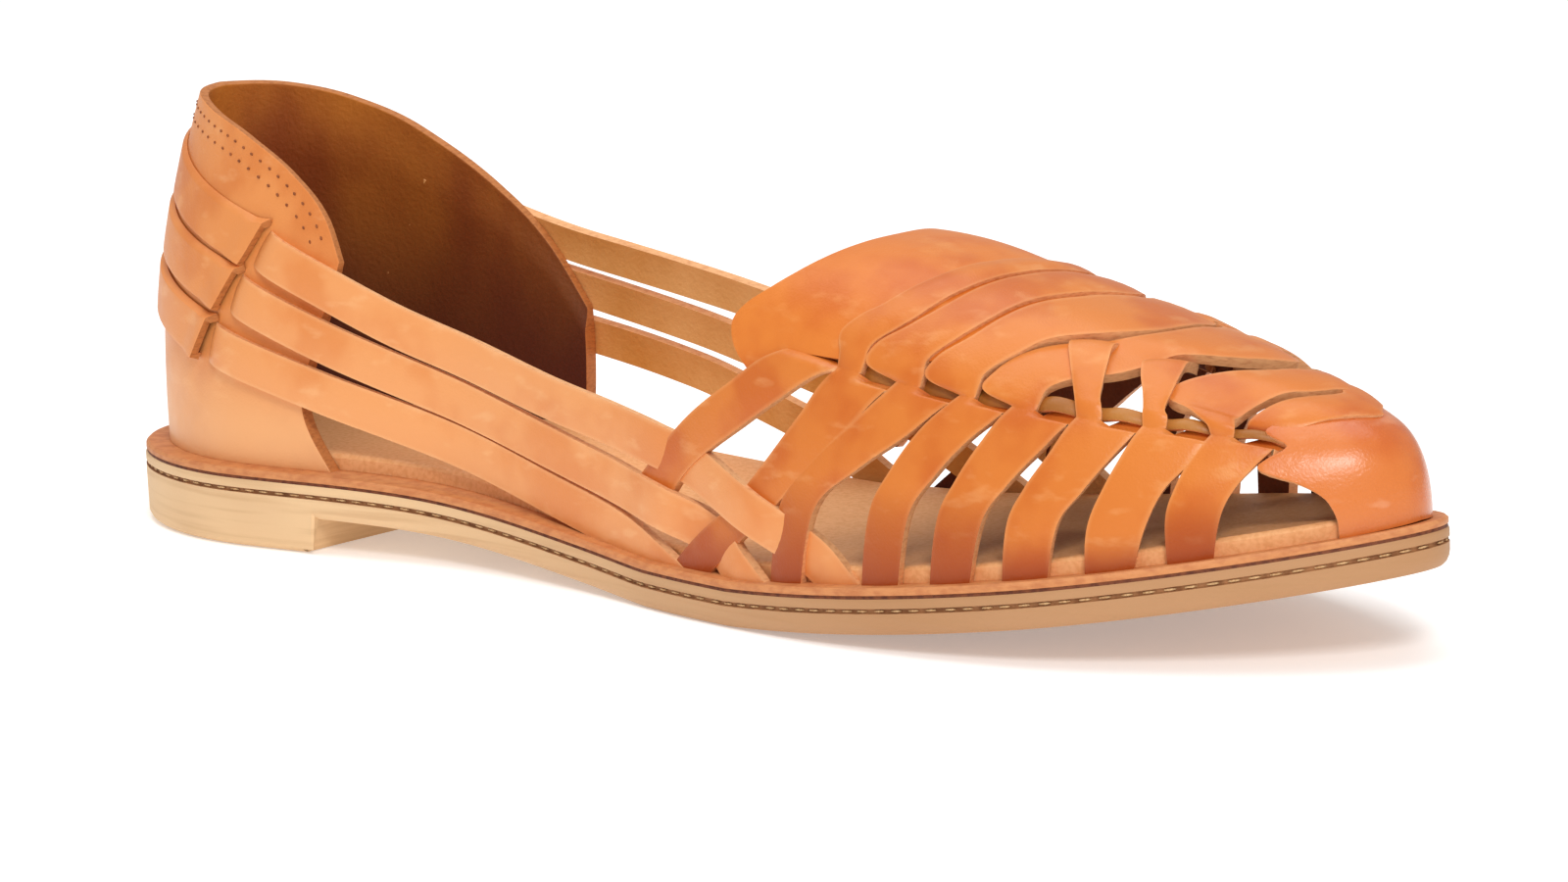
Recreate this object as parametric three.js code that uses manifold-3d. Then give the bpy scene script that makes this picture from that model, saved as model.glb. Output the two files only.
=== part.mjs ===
// Woven flat huarache, left shoe, in millimetres: +X to the toe, +Z up, inner side at -Y.
// The shapes are worked out on the last: a plan outline, a sole line and a row of arched sections.
// Straps are ribbons laid on the last by station x and by girth, the angle round the section.
import * as THREE from 'three';
import Module from 'manifold-3d';
import { mergeVertices } from 'three/addons/utils/BufferGeometryUtils.js';

// Driving dimensions
const LENGTH = 252;
const HEEL_ROUND = 40;
const TOE_ROUND = 50;
const NOSE_START = 241;
const NOSE_POWER = 2.6;
const HEEL_BREAST = 54;
const BREAST_SLOPE = 0.6;
const ARCH_RISE = 6.2;
const ARCH_END = 147;
const TOE_SPRING = 14.3;
const TOE_SPRING_START = 127;
const TOE_SPRING_POWER = 1.7;
const FLAT_SPOT_DEPTH = 0.7;
const FLAT_SPOT_START = 128;
const FLAT_SPOT_END = 148;
const OUTSOLE_THICK = 5.4;
const JOIN_GAP = 0.3;
const MIDSOLE_THICK = 1.3;
const INSOLE_THICK = 2.3;
const LEATHER = 1.7;
const TIP_REACH = 2.4;
const TIP_STOP = 0.15;
const TIP_SKIN = -0.1;
const COUNTER_WALL = 2.8;
const WRAP_SPREAD = 1.8;
const SKIVED = 0.9;
const TUCK = -0.95;
const PROUD = 2.05;
const UPPER_INSET = 2.6;
const COUNTER_INSET = 4.0;
const INSOLE_CLEARANCE = 0.6;
const SIDE_ROUND = 2.5;
const ROOF_ROUND = 2.1;
const WALL_BLEND_START = 60;
const WALL_BLEND_END = 115;
const STRAP_WIDTH = 6.6;
const BAND_WIDTH = 8.4;
const INNER_ARCH_WIDTH = 6.3;
const OUTER_ARCH_WIDTH = 5.7;
const HEEL_BAND_WIDTH = 7.4;
const HEEL_BAND_THICK = 1.3;
const HEEL_BAND_FALL = 1.3;
const BRAID_WIDTH = 4.2;
const BRAID_GIRTH = 48.5;
const SLOT_GIRTH = 44;
const OVER = 0.5;
const UNDER = -0.9;
const SLOT_CLEARANCE = 0.32;
const EMBOSS = 0.8;

const INSTEP_ARC = 70;
const CROSS_TURN = 76;
const CROSS_DRIFT = 0.16;
const CROSS_TUCK = 105;
const CROSS_REACH = 7;
const CROSS_DEPTH = -1.1;
const CROSS_LIFT = 0.8;

const MIDSOLE_BASE = OUTSOLE_THICK + JOIN_GAP;
const UPPER_BASE = MIDSOLE_BASE + MIDSOLE_THICK + JOIN_GAP;

// Last sections: half widths on the inner and outer side, ridge offset, height over the sole
const SECTIONS = [
  { x: 0, inner: 27.0, outer: 27.0, ridge: 0.0, height: 100 },
  { x: 33, inner: 27.3, outer: 27.8, ridge: 0.0, height: 100 },
  { x: 55, inner: 25.8, outer: 28.2, ridge: 0.0, height: 94 },
  { x: 81, inner: 22.8, outer: 28.4, ridge: -0.5, height: 83 },
  { x: 111, inner: 26.3, outer: 30.8, ridge: -2.0, height: 68.5 },
  { x: 141, inner: 33.4, outer: 34.6, ridge: -3.0, height: 56 },
  { x: 169, inner: 36.8, outer: 36.8, ridge: -3.0, height: 45.5 },
  { x: 197, inner: 35.0, outer: 35.0, ridge: -2.0, height: 34.8 },
  { x: 219, inner: 30.0, outer: 30.2, ridge: 0.0, height: 26 },
  { x: 237, inner: 25.4, outer: 25.4, ridge: 0.5, height: 18 },
  { x: 252, inner: 21.0, outer: 21.0, ridge: 0.5, height: 10 },
];

// Side of each sole layer from below: how far a step stands in from the outline, and its height,
// over the sole line for the outsole and as a share of the thickness for the other two.
// Grounded steps run level with the floor under the heel.
const OUTSOLE_SIDE = [
  { inset: 1.1, rise: 0, grounded: true },
  { inset: 0.5, rise: 0.8, grounded: true },
  { inset: 0, rise: 1.6, grounded: false },
  { inset: 0, rise: 3.1, grounded: false },
  { inset: 0.5, rise: 3.4, grounded: false },
  { inset: 0.5, rise: 3.8, grounded: false },
  { inset: 0, rise: 4.1, grounded: false },
  { inset: 0.1, rise: OUTSOLE_THICK, grounded: false },
];
const MIDSOLE_SIDE = [
  { inset: 0.35, share: 0 },
  { inset: 0.25, share: 0.6 },
  { inset: 0.6, share: 1 },
];
const INSOLE_SIDE = [
  { inset: 0, share: 0 },
  { inset: 0, share: 0.7 },
  { inset: 0.7, share: 1 },
];

// Heel cup by height over the floor: where its back stands and how far its walls lean in,
// and where its front edge runs on the inner and the outer side
const HEEL_CUP = [
  { z: 10, back: 4.3, lean: 4.0, inner: 57.0, outer: 70.0 },
  { z: 22, back: 3.9, lean: 4.2, inner: 50.0, outer: 71.5 },
  { z: 34, back: 4.2, lean: 4.9, inner: 53.0, outer: 72.0 },
  { z: 46, back: 6.0, lean: 6.3, inner: 57.0, outer: 71.0 },
  { z: 60, back: 9.4, lean: 9.4, inner: 58.0, outer: 71.0 },
  { z: 72, back: 13.6, lean: 11.8, inner: 58.0, outer: 71.0 },
];

// Top line of the heel cup, by share of the way from the back to the front edge
const TOP_LINE = [
  { share: 0, inner: 70.0, outer: 70.0 },
  { share: 0.3, inner: 69.3, outer: 69.0 },
  { share: 0.5, inner: 67.6, outer: 66.6 },
  { share: 0.7, inner: 64.3, outer: 61.5 },
  { share: 0.86, inner: 58.6, outer: 53.0 },
  { share: 0.95, inner: 52.6, outer: 44.0 },
  { share: 1, inner: 46.0, outer: 34.0 },
];

// Side straps of the forefoot: foot at the sole, slot under the braid, how soon they lean forward,
// and the girth below which they dive behind the arch straps
const FOREFOOT_STRAPS = [
  { foot: 121.0, slot: 162.5, bend: 1.0, tuck: 18 },
  { foot: 139.0, slot: 172.5, bend: 0.65, tuck: -4 },
  { foot: 158.5, slot: 183.5, bend: 1.3, tuck: -4 },
  { foot: 177.0, slot: 193.0, bend: 1.75, tuck: -4 },
  { foot: 189.3, slot: 203.5, bend: 1.75, tuck: -4 },
  { foot: 201.5, slot: 213.0, bend: 1.75, tuck: -4 },
  { foot: 213.7, slot: 222.0, bend: 1.75, tuck: -4 },
  { foot: 225.5, slot: 231.0, bend: 1.75, tuck: -4 },
];

// Bands over the instep run on from the inner slots, forward and over to the outer braid
const INSTEP_BANDS = [
  { slot: 162.5, rise: 17, width: BAND_WIDTH },
  { slot: 172.5, rise: 15.5, width: BAND_WIDTH },
  { slot: 183.5, rise: 14.5, width: BAND_WIDTH },
  { slot: 194.0, rise: 15, width: STRAP_WIDTH },
  { slot: 213.0, rise: 19, width: STRAP_WIDTH },
];

// Lengthwise braid strip over the slots, the same on both sides
const BRAID = [
  { x: 157, girth: 44, lift: OVER },
  { x: 170, girth: 47.5, lift: OVER },
  { x: 190, girth: BRAID_GIRTH, lift: OVER },
  { x: 210, girth: BRAID_GIRTH, lift: OVER },
  { x: 236, girth: BRAID_GIRTH, lift: 0.2 },
];

// Girths at which each kind of strap is laid down on the last
const STRAP_GIRTHS = [-2, 9, 18, 27, 36, SLOT_GIRTH, BRAID_GIRTH + 1];
const BAND_GIRTHS = [SLOT_GIRTH - 2, 54, 66, 78, 90, 102, 114, 126, 180 - SLOT_GIRTH];
const CROSS_GIRTHS = [BRAID_GIRTH, 57, 66, 76, 88, 100, 112, 124, 134];
const TIP_GIRTHS = [-3, 12, 30, 52, 80];

// Cross straps come over from the outer side, under one band and over the next
const CROSS_STRAPS = [
  { braid: 207.5, lean: 4.5, under: 76 },
  { braid: 217.0, lean: 5.0, under: 74 },
  { braid: 226.5, lean: 5.0, under: 112 },
];

// Arch straps on each side, by station and height: each starts tucked in the heel cup's slot,
// runs along the arch and ends at the sole, over and under the forefoot straps
const INNER_ARCH_STRAPS = [
  [
    { x: 34, z: 50.2, lift: TUCK, thick: SKIVED },
    { x: 39.5, z: 48.0, lift: TUCK, thick: SKIVED },
    { x: 44.5, z: 46.1, lift: PROUD, thick: LEATHER },
    { x: 56, z: 41.8, lift: PROUD, thick: LEATHER },
    { x: 70, z: 36.4, lift: 1.2, thick: LEATHER },
    { x: 84, z: 32.4, lift: 0.3, thick: LEATHER },
    { x: 100, z: 28.8, lift: 0, thick: LEATHER },
    { x: 116, z: 26.4, lift: 0, thick: LEATHER },
    { x: 128, z: 24.6, lift: 0, thick: LEATHER },
    { x: 137, z: 22.4, lift: UNDER, thick: LEATHER },
    { x: 151, z: 17.8, lift: OVER, thick: LEATHER },
    { x: 163, z: 12.4, lift: UNDER, thick: LEATHER },
    { x: 172, z: 6.0, lift: UNDER, thick: LEATHER },
  ],
  [
    { x: 29, z: 42.6, lift: TUCK, thick: SKIVED },
    { x: 34.5, z: 40.6, lift: TUCK, thick: SKIVED },
    { x: 39.5, z: 38.8, lift: PROUD, thick: LEATHER },
    { x: 53, z: 34.2, lift: PROUD, thick: LEATHER },
    { x: 69, z: 29.2, lift: 1.2, thick: LEATHER },
    { x: 84, z: 25.0, lift: 0.3, thick: LEATHER },
    { x: 100, z: 21.2, lift: 0, thick: LEATHER },
    { x: 119, z: 17.4, lift: 0, thick: LEATHER },
    { x: 130, z: 15.6, lift: OVER, thick: LEATHER },
    { x: 141, z: 12.6, lift: UNDER, thick: LEATHER },
    { x: 152, z: 7.0, lift: OVER, thick: LEATHER },
  ],
  [
    { x: 23.5, z: 33.8, lift: TUCK, thick: SKIVED },
    { x: 29, z: 32.2, lift: TUCK, thick: SKIVED },
    { x: 34, z: 30.8, lift: PROUD, thick: LEATHER },
    { x: 51, z: 26.4, lift: PROUD, thick: LEATHER },
    { x: 69, z: 21.8, lift: 1.2, thick: LEATHER },
    { x: 84, z: 17.9, lift: 0.3, thick: LEATHER },
    { x: 100, z: 14.0, lift: 0, thick: LEATHER },
    { x: 119, z: 10.0, lift: 0, thick: LEATHER },
    { x: 131, z: 6.0, lift: 0, thick: LEATHER },
  ],
];
const OUTER_ARCH_STRAPS = [
  [
    { x: 34, z: 52.8, lift: TUCK, thick: SKIVED },
    { x: 39.5, z: 51.4, lift: TUCK, thick: SKIVED },
    { x: 44.5, z: 50.1, lift: PROUD, thick: LEATHER },
    { x: 66, z: 44.6, lift: PROUD, thick: LEATHER },
    { x: 80, z: 42.0, lift: 1.2, thick: LEATHER },
    { x: 91, z: 40.0, lift: 0.6, thick: LEATHER },
    { x: 105, z: 37.2, lift: 0, thick: LEATHER },
    { x: 120, z: 33.4, lift: 0, thick: LEATHER },
    { x: 134, z: 28.6, lift: UNDER, thick: LEATHER },
    { x: 150, z: 21.8, lift: OVER, thick: LEATHER },
    { x: 163, z: 14.4, lift: UNDER, thick: LEATHER },
    { x: 173, z: 6.0, lift: UNDER, thick: LEATHER },
  ],
  [
    { x: 29, z: 44.4, lift: TUCK, thick: SKIVED },
    { x: 34.5, z: 43.2, lift: TUCK, thick: SKIVED },
    { x: 39.5, z: 42.1, lift: PROUD, thick: LEATHER },
    { x: 70, z: 36.7, lift: PROUD, thick: LEATHER },
    { x: 91, z: 32.6, lift: 0.6, thick: LEATHER },
    { x: 105, z: 29.0, lift: 0, thick: LEATHER },
    { x: 120, z: 24.4, lift: 0, thick: LEATHER },
    { x: 130, z: 20.4, lift: OVER, thick: LEATHER },
    { x: 142, z: 14.4, lift: UNDER, thick: LEATHER },
    { x: 153, z: 7.0, lift: OVER, thick: LEATHER },
  ],
  [
    { x: 23.5, z: 35.4, lift: TUCK, thick: SKIVED },
    { x: 29, z: 34.6, lift: TUCK, thick: SKIVED },
    { x: 34, z: 33.9, lift: PROUD, thick: LEATHER },
    { x: 70, z: 29.2, lift: PROUD, thick: LEATHER },
    { x: 91, z: 25.2, lift: 0.6, thick: LEATHER },
    { x: 104, z: 21.0, lift: 0, thick: LEATHER },
    { x: 118, z: 15.2, lift: 0, thick: LEATHER },
    { x: 131, z: 6.0, lift: 0, thick: LEATHER },
  ],
];

// Bands raised in the counter over the straps, from slot to slot round the heel: height at the
// inner slot, at the back and at the outer slot, and each slot's share of the way to the front edge
const HEEL_BANDS = [
  { inner: 47.9, back: 60.5, outer: 51.3, innerSlot: 0.79, outerSlot: 0.69 },
  { inner: 40.4, back: 50.6, outer: 43.1, innerSlot: 0.745, outerSlot: 0.637 },
  { inner: 32.2, back: 41.0, outer: 34.6, innerSlot: 0.695, outerSlot: 0.575 },
];

// Back edge of the tongue and of the toe cap, by girth in degrees from the inner sole edge
const TONGUE_EDGE = [
  { girth: 34, back: 148.6, front: 162 },
  { girth: 36.5, back: 145.4, front: 164 },
  { girth: 41, back: 143.6, front: 169 },
  { girth: 46, back: 145.2, front: 178 },
  { girth: 52, back: 148.4, front: 188 },
  { girth: 60, back: 151.8, front: 195 },
  { girth: 74, back: 155.4, front: 201 },
  { girth: 90, back: 157.4, front: 205 },
  { girth: 106, back: 155.4, front: 205 },
  { girth: 120, back: 151.8, front: 202 },
  { girth: 128, back: 148.4, front: 199 },
  { girth: 134, back: 145.2, front: 192 },
  { girth: 139, back: 143.6, front: 178 },
  { girth: 143.5, back: 145.4, front: 168 },
  { girth: 146, back: 148.6, front: 162 },
];
const TOE_CAP_EDGE = [
  { girth: 0, back: 242.6 },
  { girth: 16, back: 242.4 },
  { girth: 23, back: 240.8 },
  { girth: 28, back: 236.5 },
  { girth: 33, back: 231.0 },
  { girth: 44, back: 230.0 },
  { girth: 58, back: 227.5 },
  { girth: 74, back: 226.0 },
  { girth: 90, back: 225.5 },
];

// How finely the pieces are divided
const SOLE_STATIONS = 40;
const PATH_STEP = 6.5;
const CUP_SIDE_STEPS = 13;
const CUP_HEIGHT_STEPS = 9;
const CAP_LENGTH_STEPS = 6;
const TONGUE_LENGTH_STEPS = 5;
const END_SHARE = 0.012;
const ROUTE_SAMPLES = 40;
const SHARE_NUDGE = 0.004;
const STATION_NUDGE = 0.2;
const GIRTH_NUDGE = 0.01;
const WRAP_NUDGE = 0.02;

// Colour and roughness of each piece
const FINISHES = {
  outsole: { color: 0xcdaa80, roughness: 0.8 },
  midsole: { color: 0xc98f62, roughness: 0.7 },
  insole: { color: 0xe2b07e, roughness: 0.7 },
  upper: { color: 0xdb8044, roughness: 0.5 },
  heel_counter: { color: 0xdf9a62, roughness: 0.55 },
};

const smooth = (from, to, value) => THREE.MathUtils.smoothstep(value, from, to);
const mix = THREE.MathUtils.lerp;

// Smooth curve through one column of a table, with slopes taken from the neighbouring rows
function column(rows, key, name) {
  const place = rows.map((row) => row[key]);
  const value = rows.map((row) => row[name]);
  const last = rows.length - 1;
  const rise = (i) => (value[i + 1] - value[i]) / (place[i + 1] - place[i]);
  const slope = value.map((_, i) => {
    if (i === 0) return rise(0);
    if (i === last) return rise(last - 1);
    return (rise(i - 1) + rise(i)) / 2;
  });
  return (at) => {
    const q = THREE.MathUtils.clamp(at, place[0], place[last]);
    let i = 0;
    while (i < last - 1 && q > place[i + 1]) i += 1;
    const step = place[i + 1] - place[i];
    const t = (q - place[i]) / step;
    const keep = 2 * t ** 3 - 3 * t ** 2 + 1;
    return keep * value[i] + (1 - keep) * value[i + 1]
      + (t ** 3 - 2 * t ** 2 + t) * step * slope[i]
      + (t ** 3 - t ** 2) * step * slope[i + 1];
  };
}

const innerHalf = column(SECTIONS, 'x', 'inner');
const outerHalf = column(SECTIONS, 'x', 'outer');
const ridgeOffset = column(SECTIONS, 'x', 'ridge');
const sectionHeight = column(SECTIONS, 'x', 'height');
const cupBack = column(HEEL_CUP, 'z', 'back');
const cupLean = column(HEEL_CUP, 'z', 'lean');
const cupFrontInner = column(HEEL_CUP, 'z', 'inner');
const cupFrontOuter = column(HEEL_CUP, 'z', 'outer');
const topInner = column(TOP_LINE, 'share', 'inner');
const topOuter = column(TOP_LINE, 'share', 'outer');

// Full half width on one side: side is -1 on the inner side and 1 on the outer side
const fullHalf = (x, side) => (side < 0 ? innerHalf(x) : outerHalf(x));

// Rounding of the plan at heel and toe, for an outline that stands in from both ends
function endRound(x, heelInset, toeInset) {
  const heel = THREE.MathUtils.clamp((HEEL_ROUND - x) / (HEEL_ROUND - heelInset), 0, 1);
  const toe = THREE.MathUtils.clamp((x - LENGTH + TOE_ROUND) / (TOE_ROUND - toeInset), 0, 1);
  return Math.sqrt(1 - heel * heel) * Math.sqrt(1 - toe * toe);
}

// Rounding of the height down to the tip, for a last that stands in from the toe end
function noseRound(x, toeInset) {
  const along = THREE.MathUtils.clamp((x - NOSE_START) / (LENGTH - toeInset - NOSE_START), 0, 1);
  return (1 - along ** NOSE_POWER) ** (1 / NOSE_POWER);
}

// Underside of the outsole: heel seat, arch, a flat spot under the ball, and toe spring
function soleLine(x) {
  const arch = ARCH_RISE * smooth(0, 1, (ARCH_END - x) / (ARCH_END - HEEL_BREAST));
  const toe = THREE.MathUtils.clamp((x - TOE_SPRING_START) / (LENGTH - TOE_SPRING_START), 0, 1);
  return Math.max(0, arch + TOE_SPRING * toe ** TOE_SPRING_POWER - FLAT_SPOT_DEPTH);
}

// Point on the last by station and girth: 0 at the inner sole edge, PI at the outer one
function lastPoint(x, girth, lift) {
  const inset = UPPER_INSET - lift;
  const rounding = endRound(x, inset, inset);
  const ridge = ridgeOffset(x) * rounding;
  const side = Math.cos(girth) > 0 ? -1 : 1;
  const across = Math.abs(Math.cos(girth)) ** (2 / SIDE_ROUND);
  const up = Math.sign(Math.sin(girth)) * Math.abs(Math.sin(girth)) ** (2 / ROOF_ROUND);
  const half = (fullHalf(x, side) - inset) * rounding;
  const y = ridge + (side * half - ridge) * across;
  const height = (sectionHeight(x) + lift) * noseRound(x, inset);
  return new THREE.Vector3(x, y, soleLine(x) + UPPER_BASE + height * up);
}

// Point on the heel cup's wall by station and height
function cupPoint(x, z, side, lift) {
  const back = cupBack(z) - lift;
  const half = (fullHalf(x, side) - cupLean(z) + lift) * endRound(x, back, 0);
  return new THREE.Vector3(x, side * half, z);
}

// Point on the side wall by station and height: the heel cup behind, the last in front
function wallPoint(x, z, side, lift) {
  const rise = Math.max(0, z - soleLine(x) - UPPER_BASE) / (sectionHeight(x) + lift);
  const lean = Math.asin(Math.min(1, rise ** (ROOF_ROUND / 2)));
  const onLast = lastPoint(x, side < 0 ? lean : Math.PI - lean, lift);
  const onCup = cupPoint(x, z, side, lift);
  const blend = smooth(WALL_BLEND_START, WALL_BLEND_END, x);
  return new THREE.Vector3(x, mix(onCup.y, onLast.y, blend), z);
}

// Closed body through rings of equal length, with flat ends
function loft(rings) {
  const count = rings[0].length;
  const positions = rings.flat().flatMap((point) => [point.x, point.y, point.z]);
  const faces = [];
  for (let ring = 0; ring < rings.length - 1; ring += 1) {
    for (let k = 0; k < count; k += 1) {
      const a = ring * count + k;
      const b = ring * count + (k + 1) % count;
      faces.push(a, b, b + count, a, b + count, a + count);
    }
  }
  const lastRing = (rings.length - 1) * count;
  for (let k = 1; k < count - 1; k += 1) {
    faces.push(0, k + 1, k);
    faces.push(lastRing, lastRing + k, lastRing + k + 1);
  }
  return closedGeometry(positions, faces);
}

// Wall between two grids of points, joined round its edge
function shell(outer, inner) {
  const rows = outer.length;
  const columns = outer[0].length;
  const grid = rows * columns;
  const positions = [...outer.flat(), ...inner.flat()].flatMap((point) => [point.x, point.y, point.z]);
  const faces = [];
  const quad = (a, b, c, d) => faces.push(a, b, c, a, c, d);
  const at = (row, k) => row * columns + k;
  for (let row = 0; row < rows - 1; row += 1) {
    for (let k = 0; k < columns - 1; k += 1) {
      quad(at(row, k), at(row, k + 1), at(row + 1, k + 1), at(row + 1, k));
      quad(grid + at(row, k), grid + at(row + 1, k), grid + at(row + 1, k + 1), grid + at(row, k + 1));
    }
  }
  const rim = [];
  for (let k = 0; k < columns - 1; k += 1) rim.push(at(0, k));
  for (let row = 0; row < rows - 1; row += 1) rim.push(at(row, columns - 1));
  for (let k = columns - 1; k > 0; k -= 1) rim.push(at(rows - 1, k));
  for (let row = rows - 1; row > 0; row -= 1) rim.push(at(row, 0));
  rim.forEach((a, i) => {
    const b = rim[(i + 1) % rim.length];
    quad(a, grid + a, grid + b, b);
  });
  return closedGeometry(positions, faces);
}

// Indexed geometry from flat lists of coordinates and corners
function closedGeometry(positions, faces) {
  const geometry = new THREE.BufferGeometry();
  geometry.setAttribute('position', new THREE.Float32BufferAttribute(positions, 3));
  geometry.setIndex(faces);
  return geometry;
}

// Solids are joined and cut as closed meshes with shared vertices
const wasm = await Module();
wasm.setup();
const MERGE_DISTANCE = 1e-4;
function toSolid(geometry) {
  const merged = mergeVertices(geometry, MERGE_DISTANCE);
  const solid = new wasm.Manifold(new wasm.Mesh({
    numProp: 3,
    vertProperties: new Float32Array(merged.attributes.position.array),
    triVerts: new Uint32Array(merged.index.array),
  }));
  return solid;
}
function toGeometry(solid) {
  const mesh = solid.getMesh();
  return closedGeometry(Array.from(mesh.vertProperties), Array.from(mesh.triVerts));
}
const join = (solids) => solids.reduce((whole, next) => whole.add(next));

// Point of a plan outline: share runs from heel to toe, inset has a heel and a toe value
function planPoint(share, side, inset, z) {
  const along = (1 - Math.cos(Math.PI * share)) / 2;
  const x = inset.heel + (LENGTH - inset.heel - inset.toe) * along;
  const here = mix(inset.heel, inset.toe, smooth(WALL_BLEND_START, WALL_BLEND_END, x));
  const half = (fullHalf(x, side) - here) * endRound(x, inset.heel, inset.toe);
  return new THREE.Vector3(x, side * half, z(x));
}

// Layer of the sole: rows go up its side, each with an inset and a height
function layer(rows, stations) {
  return loft(stations.map((share) => {
    const point = (row, side) => planPoint(share, side, row.inset, row.z);
    const inner = rows.map((row) => point(row, -1));
    const outer = rows.map((row) => point(row, 1)).reverse();
    return [...inner, ...outer].reverse();
  }));
}

const evenStations = Array.from({ length: SOLE_STATIONS + 1 }, (_, i) => (
  mix(END_SHARE, 1 - END_SHARE, i / SOLE_STATIONS)));
const shareAt = (x) => Math.acos(1 - 2 * x / LENGTH) / Math.PI;
const evenInset = (inset) => ({ heel: inset, toe: inset });

// Outsole with its low heel: rounded bottom edge, and a stitch groove round its side
function makeOutsole() {
  const special = [HEEL_BREAST, HEEL_BREAST + BREAST_SLOPE, FLAT_SPOT_START, FLAT_SPOT_END];
  const stations = [...evenStations, ...special.map(shareAt)].sort((a, b) => a - b);
  const onHeel = (x) => x < HEEL_BREAST + BREAST_SLOPE / 2;
  return layer(OUTSOLE_SIDE.map((step) => ({
    inset: evenInset(step.inset),
    z: (x) => step.rise + (step.grounded && onHeel(x) ? 0 : soleLine(x)),
  })), stations);
}

// Midsole: the leather ledge that shows round the foot of the upper
function makeMidsole() {
  return layer(MIDSOLE_SIDE.map((step) => ({
    inset: evenInset(step.inset),
    z: (x) => soleLine(x) + MIDSOLE_BASE + step.share * MIDSOLE_THICK,
  })), evenStations);
}

// Insole inside the upper's foot
function makeInsole() {
  const heel = COUNTER_INSET + COUNTER_WALL + INSOLE_CLEARANCE;
  const toe = UPPER_INSET + LEATHER + INSOLE_CLEARANCE - UNDER;
  return layer(INSOLE_SIDE.map((step) => ({
    inset: { heel: heel + step.inset, toe: toe + step.inset },
    z: (x) => soleLine(x) + UPPER_BASE + step.share * INSOLE_THICK,
  })), evenStations);
}

// Ribbon of leather on a surface: route gives the point at a share of the way and a lift
function ribbon(place, width, thickness, extra) {
  let length = 0;
  for (let i = 0; i < ROUTE_SAMPLES; i += 1) {
    length += place(i / ROUTE_SAMPLES, 0).distanceTo(place((i + 1) / ROUTE_SAMPLES, 0));
  }
  const steps = Math.max(3, Math.round(length / PATH_STEP));
  const rings = Array.from({ length: steps + 1 }, (_, i) => {
    const share = i / steps;
    const centre = place(share, 0);
    const ahead = place(Math.min(1, share + SHARE_NUDGE), 0);
    const behind = place(Math.max(0, share - SHARE_NUDGE), 0);
    const tangent = ahead.sub(behind).normalize();
    const out = place(share, 1).sub(centre).normalize();
    const across = new THREE.Vector3().crossVectors(tangent, out).normalize();
    out.crossVectors(across, tangent).normalize();
    if (i === 0) centre.addScaledVector(tangent, -extra);
    if (i === steps) centre.addScaledVector(tangent, extra);
    const corner = (w, h) => centre.clone().addScaledVector(across, w).addScaledVector(out, h);
    const w = width / 2 + extra;
    const thick = thickness(share);
    return [corner(-w, extra), corner(w, extra), corner(w, -thick - extra), corner(-w, -thick - extra)];
  });
  return toSolid(loft(rings));
}

// Route through a table of rows by its own length
function rowsRoute(rows, names) {
  const keyed = rows.map((row, i) => ({ ...row, i }));
  const read = names.map((name) => column(keyed, 'i', name));
  return (share) => read.map((value) => value(share * (rows.length - 1)));
}

const deg = THREE.MathUtils.degToRad;
const outwardOf = (x, girth, lift) => {
  const centre = lastPoint(x, girth, lift);
  const along = lastPoint(x + STATION_NUDGE, girth, lift).sub(lastPoint(x - STATION_NUDGE, girth, lift));
  const round = lastPoint(x, girth + GIRTH_NUDGE, lift).sub(lastPoint(x, girth - GIRTH_NUDGE, lift));
  return centre.add(along.cross(round).normalize().negate());
};

// Ribbon whose rows give station, girth in degrees and lift; the outer side is the mirror girth
function lastRibbon(rows, width, side) {
  const route = rowsRoute(rows, ['x', 'girth', 'lift']);
  const place = (share, out) => {
    const [x, degrees, lift] = route(share);
    const girth = deg(side < 0 ? degrees : 180 - degrees);
    return out ? outwardOf(x, girth, lift) : lastPoint(x, girth, lift);
  };
  return ribbon(place, width, () => LEATHER, 0);
}

// Ribbon whose rows give station, height and lift on the side wall
function wallRibbon(rows, width, side, extra) {
  const route = rowsRoute(rows, ['x', 'z', 'lift', 'thick']);
  const place = (share, out) => {
    const [x, z, lift] = route(share);
    const centre = wallPoint(x, z, side, lift);
    if (!out) return centre;
    const at = (dx, dz) => wallPoint(x + dx, z + dz, side, lift);
    const along = at(STATION_NUDGE, 0).sub(at(-STATION_NUDGE, 0));
    const up = at(0, STATION_NUDGE).sub(at(0, -STATION_NUDGE));
    return centre.add(along.cross(up).normalize().multiplyScalar(-side));
  };
  return ribbon(place, width, (share) => route(share)[3], extra);
}

// Side strap of the forefoot: up from the sole, forward, and in under the braid at its slot
function strapRows(strap) {
  return STRAP_GIRTHS.map((girth) => {
    const share = Math.max(0, girth / SLOT_GIRTH) ** strap.bend;
    const lift = girth < SLOT_GIRTH && girth > strap.tuck ? 0 : UNDER;
    return { x: mix(strap.foot, strap.slot, share), girth, lift };
  });
}

// Instep band: out of its inner slot, over the instep and in at the outer slot
function bandRows(band) {
  return BAND_GIRTHS.map((girth, i) => {
    const share = Math.sin(Math.PI / 2 * Math.min(1, (girth - SLOT_GIRTH) / INSTEP_ARC));
    const lift = i === 0 || i === BAND_GIRTHS.length - 1 ? UNDER : OVER;
    return { x: band.slot + band.rise * share, girth, lift };
  });
}

// Cross strap: from the inner braid back over the instep, under a band, then under the rest
function crossRows(cross) {
  return CROSS_GIRTHS.map((girth) => {
    const back = cross.lean * smooth(BRAID_GIRTH, CROSS_TURN, girth);
    const x = cross.braid - back - CROSS_DRIFT * Math.max(0, girth - CROSS_TURN);
    const tucked = Math.abs(girth - cross.under) < CROSS_REACH || girth > CROSS_TUCK;
    return { x, girth, lift: tucked ? CROSS_DEPTH : CROSS_LIFT };
  });
}

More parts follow.
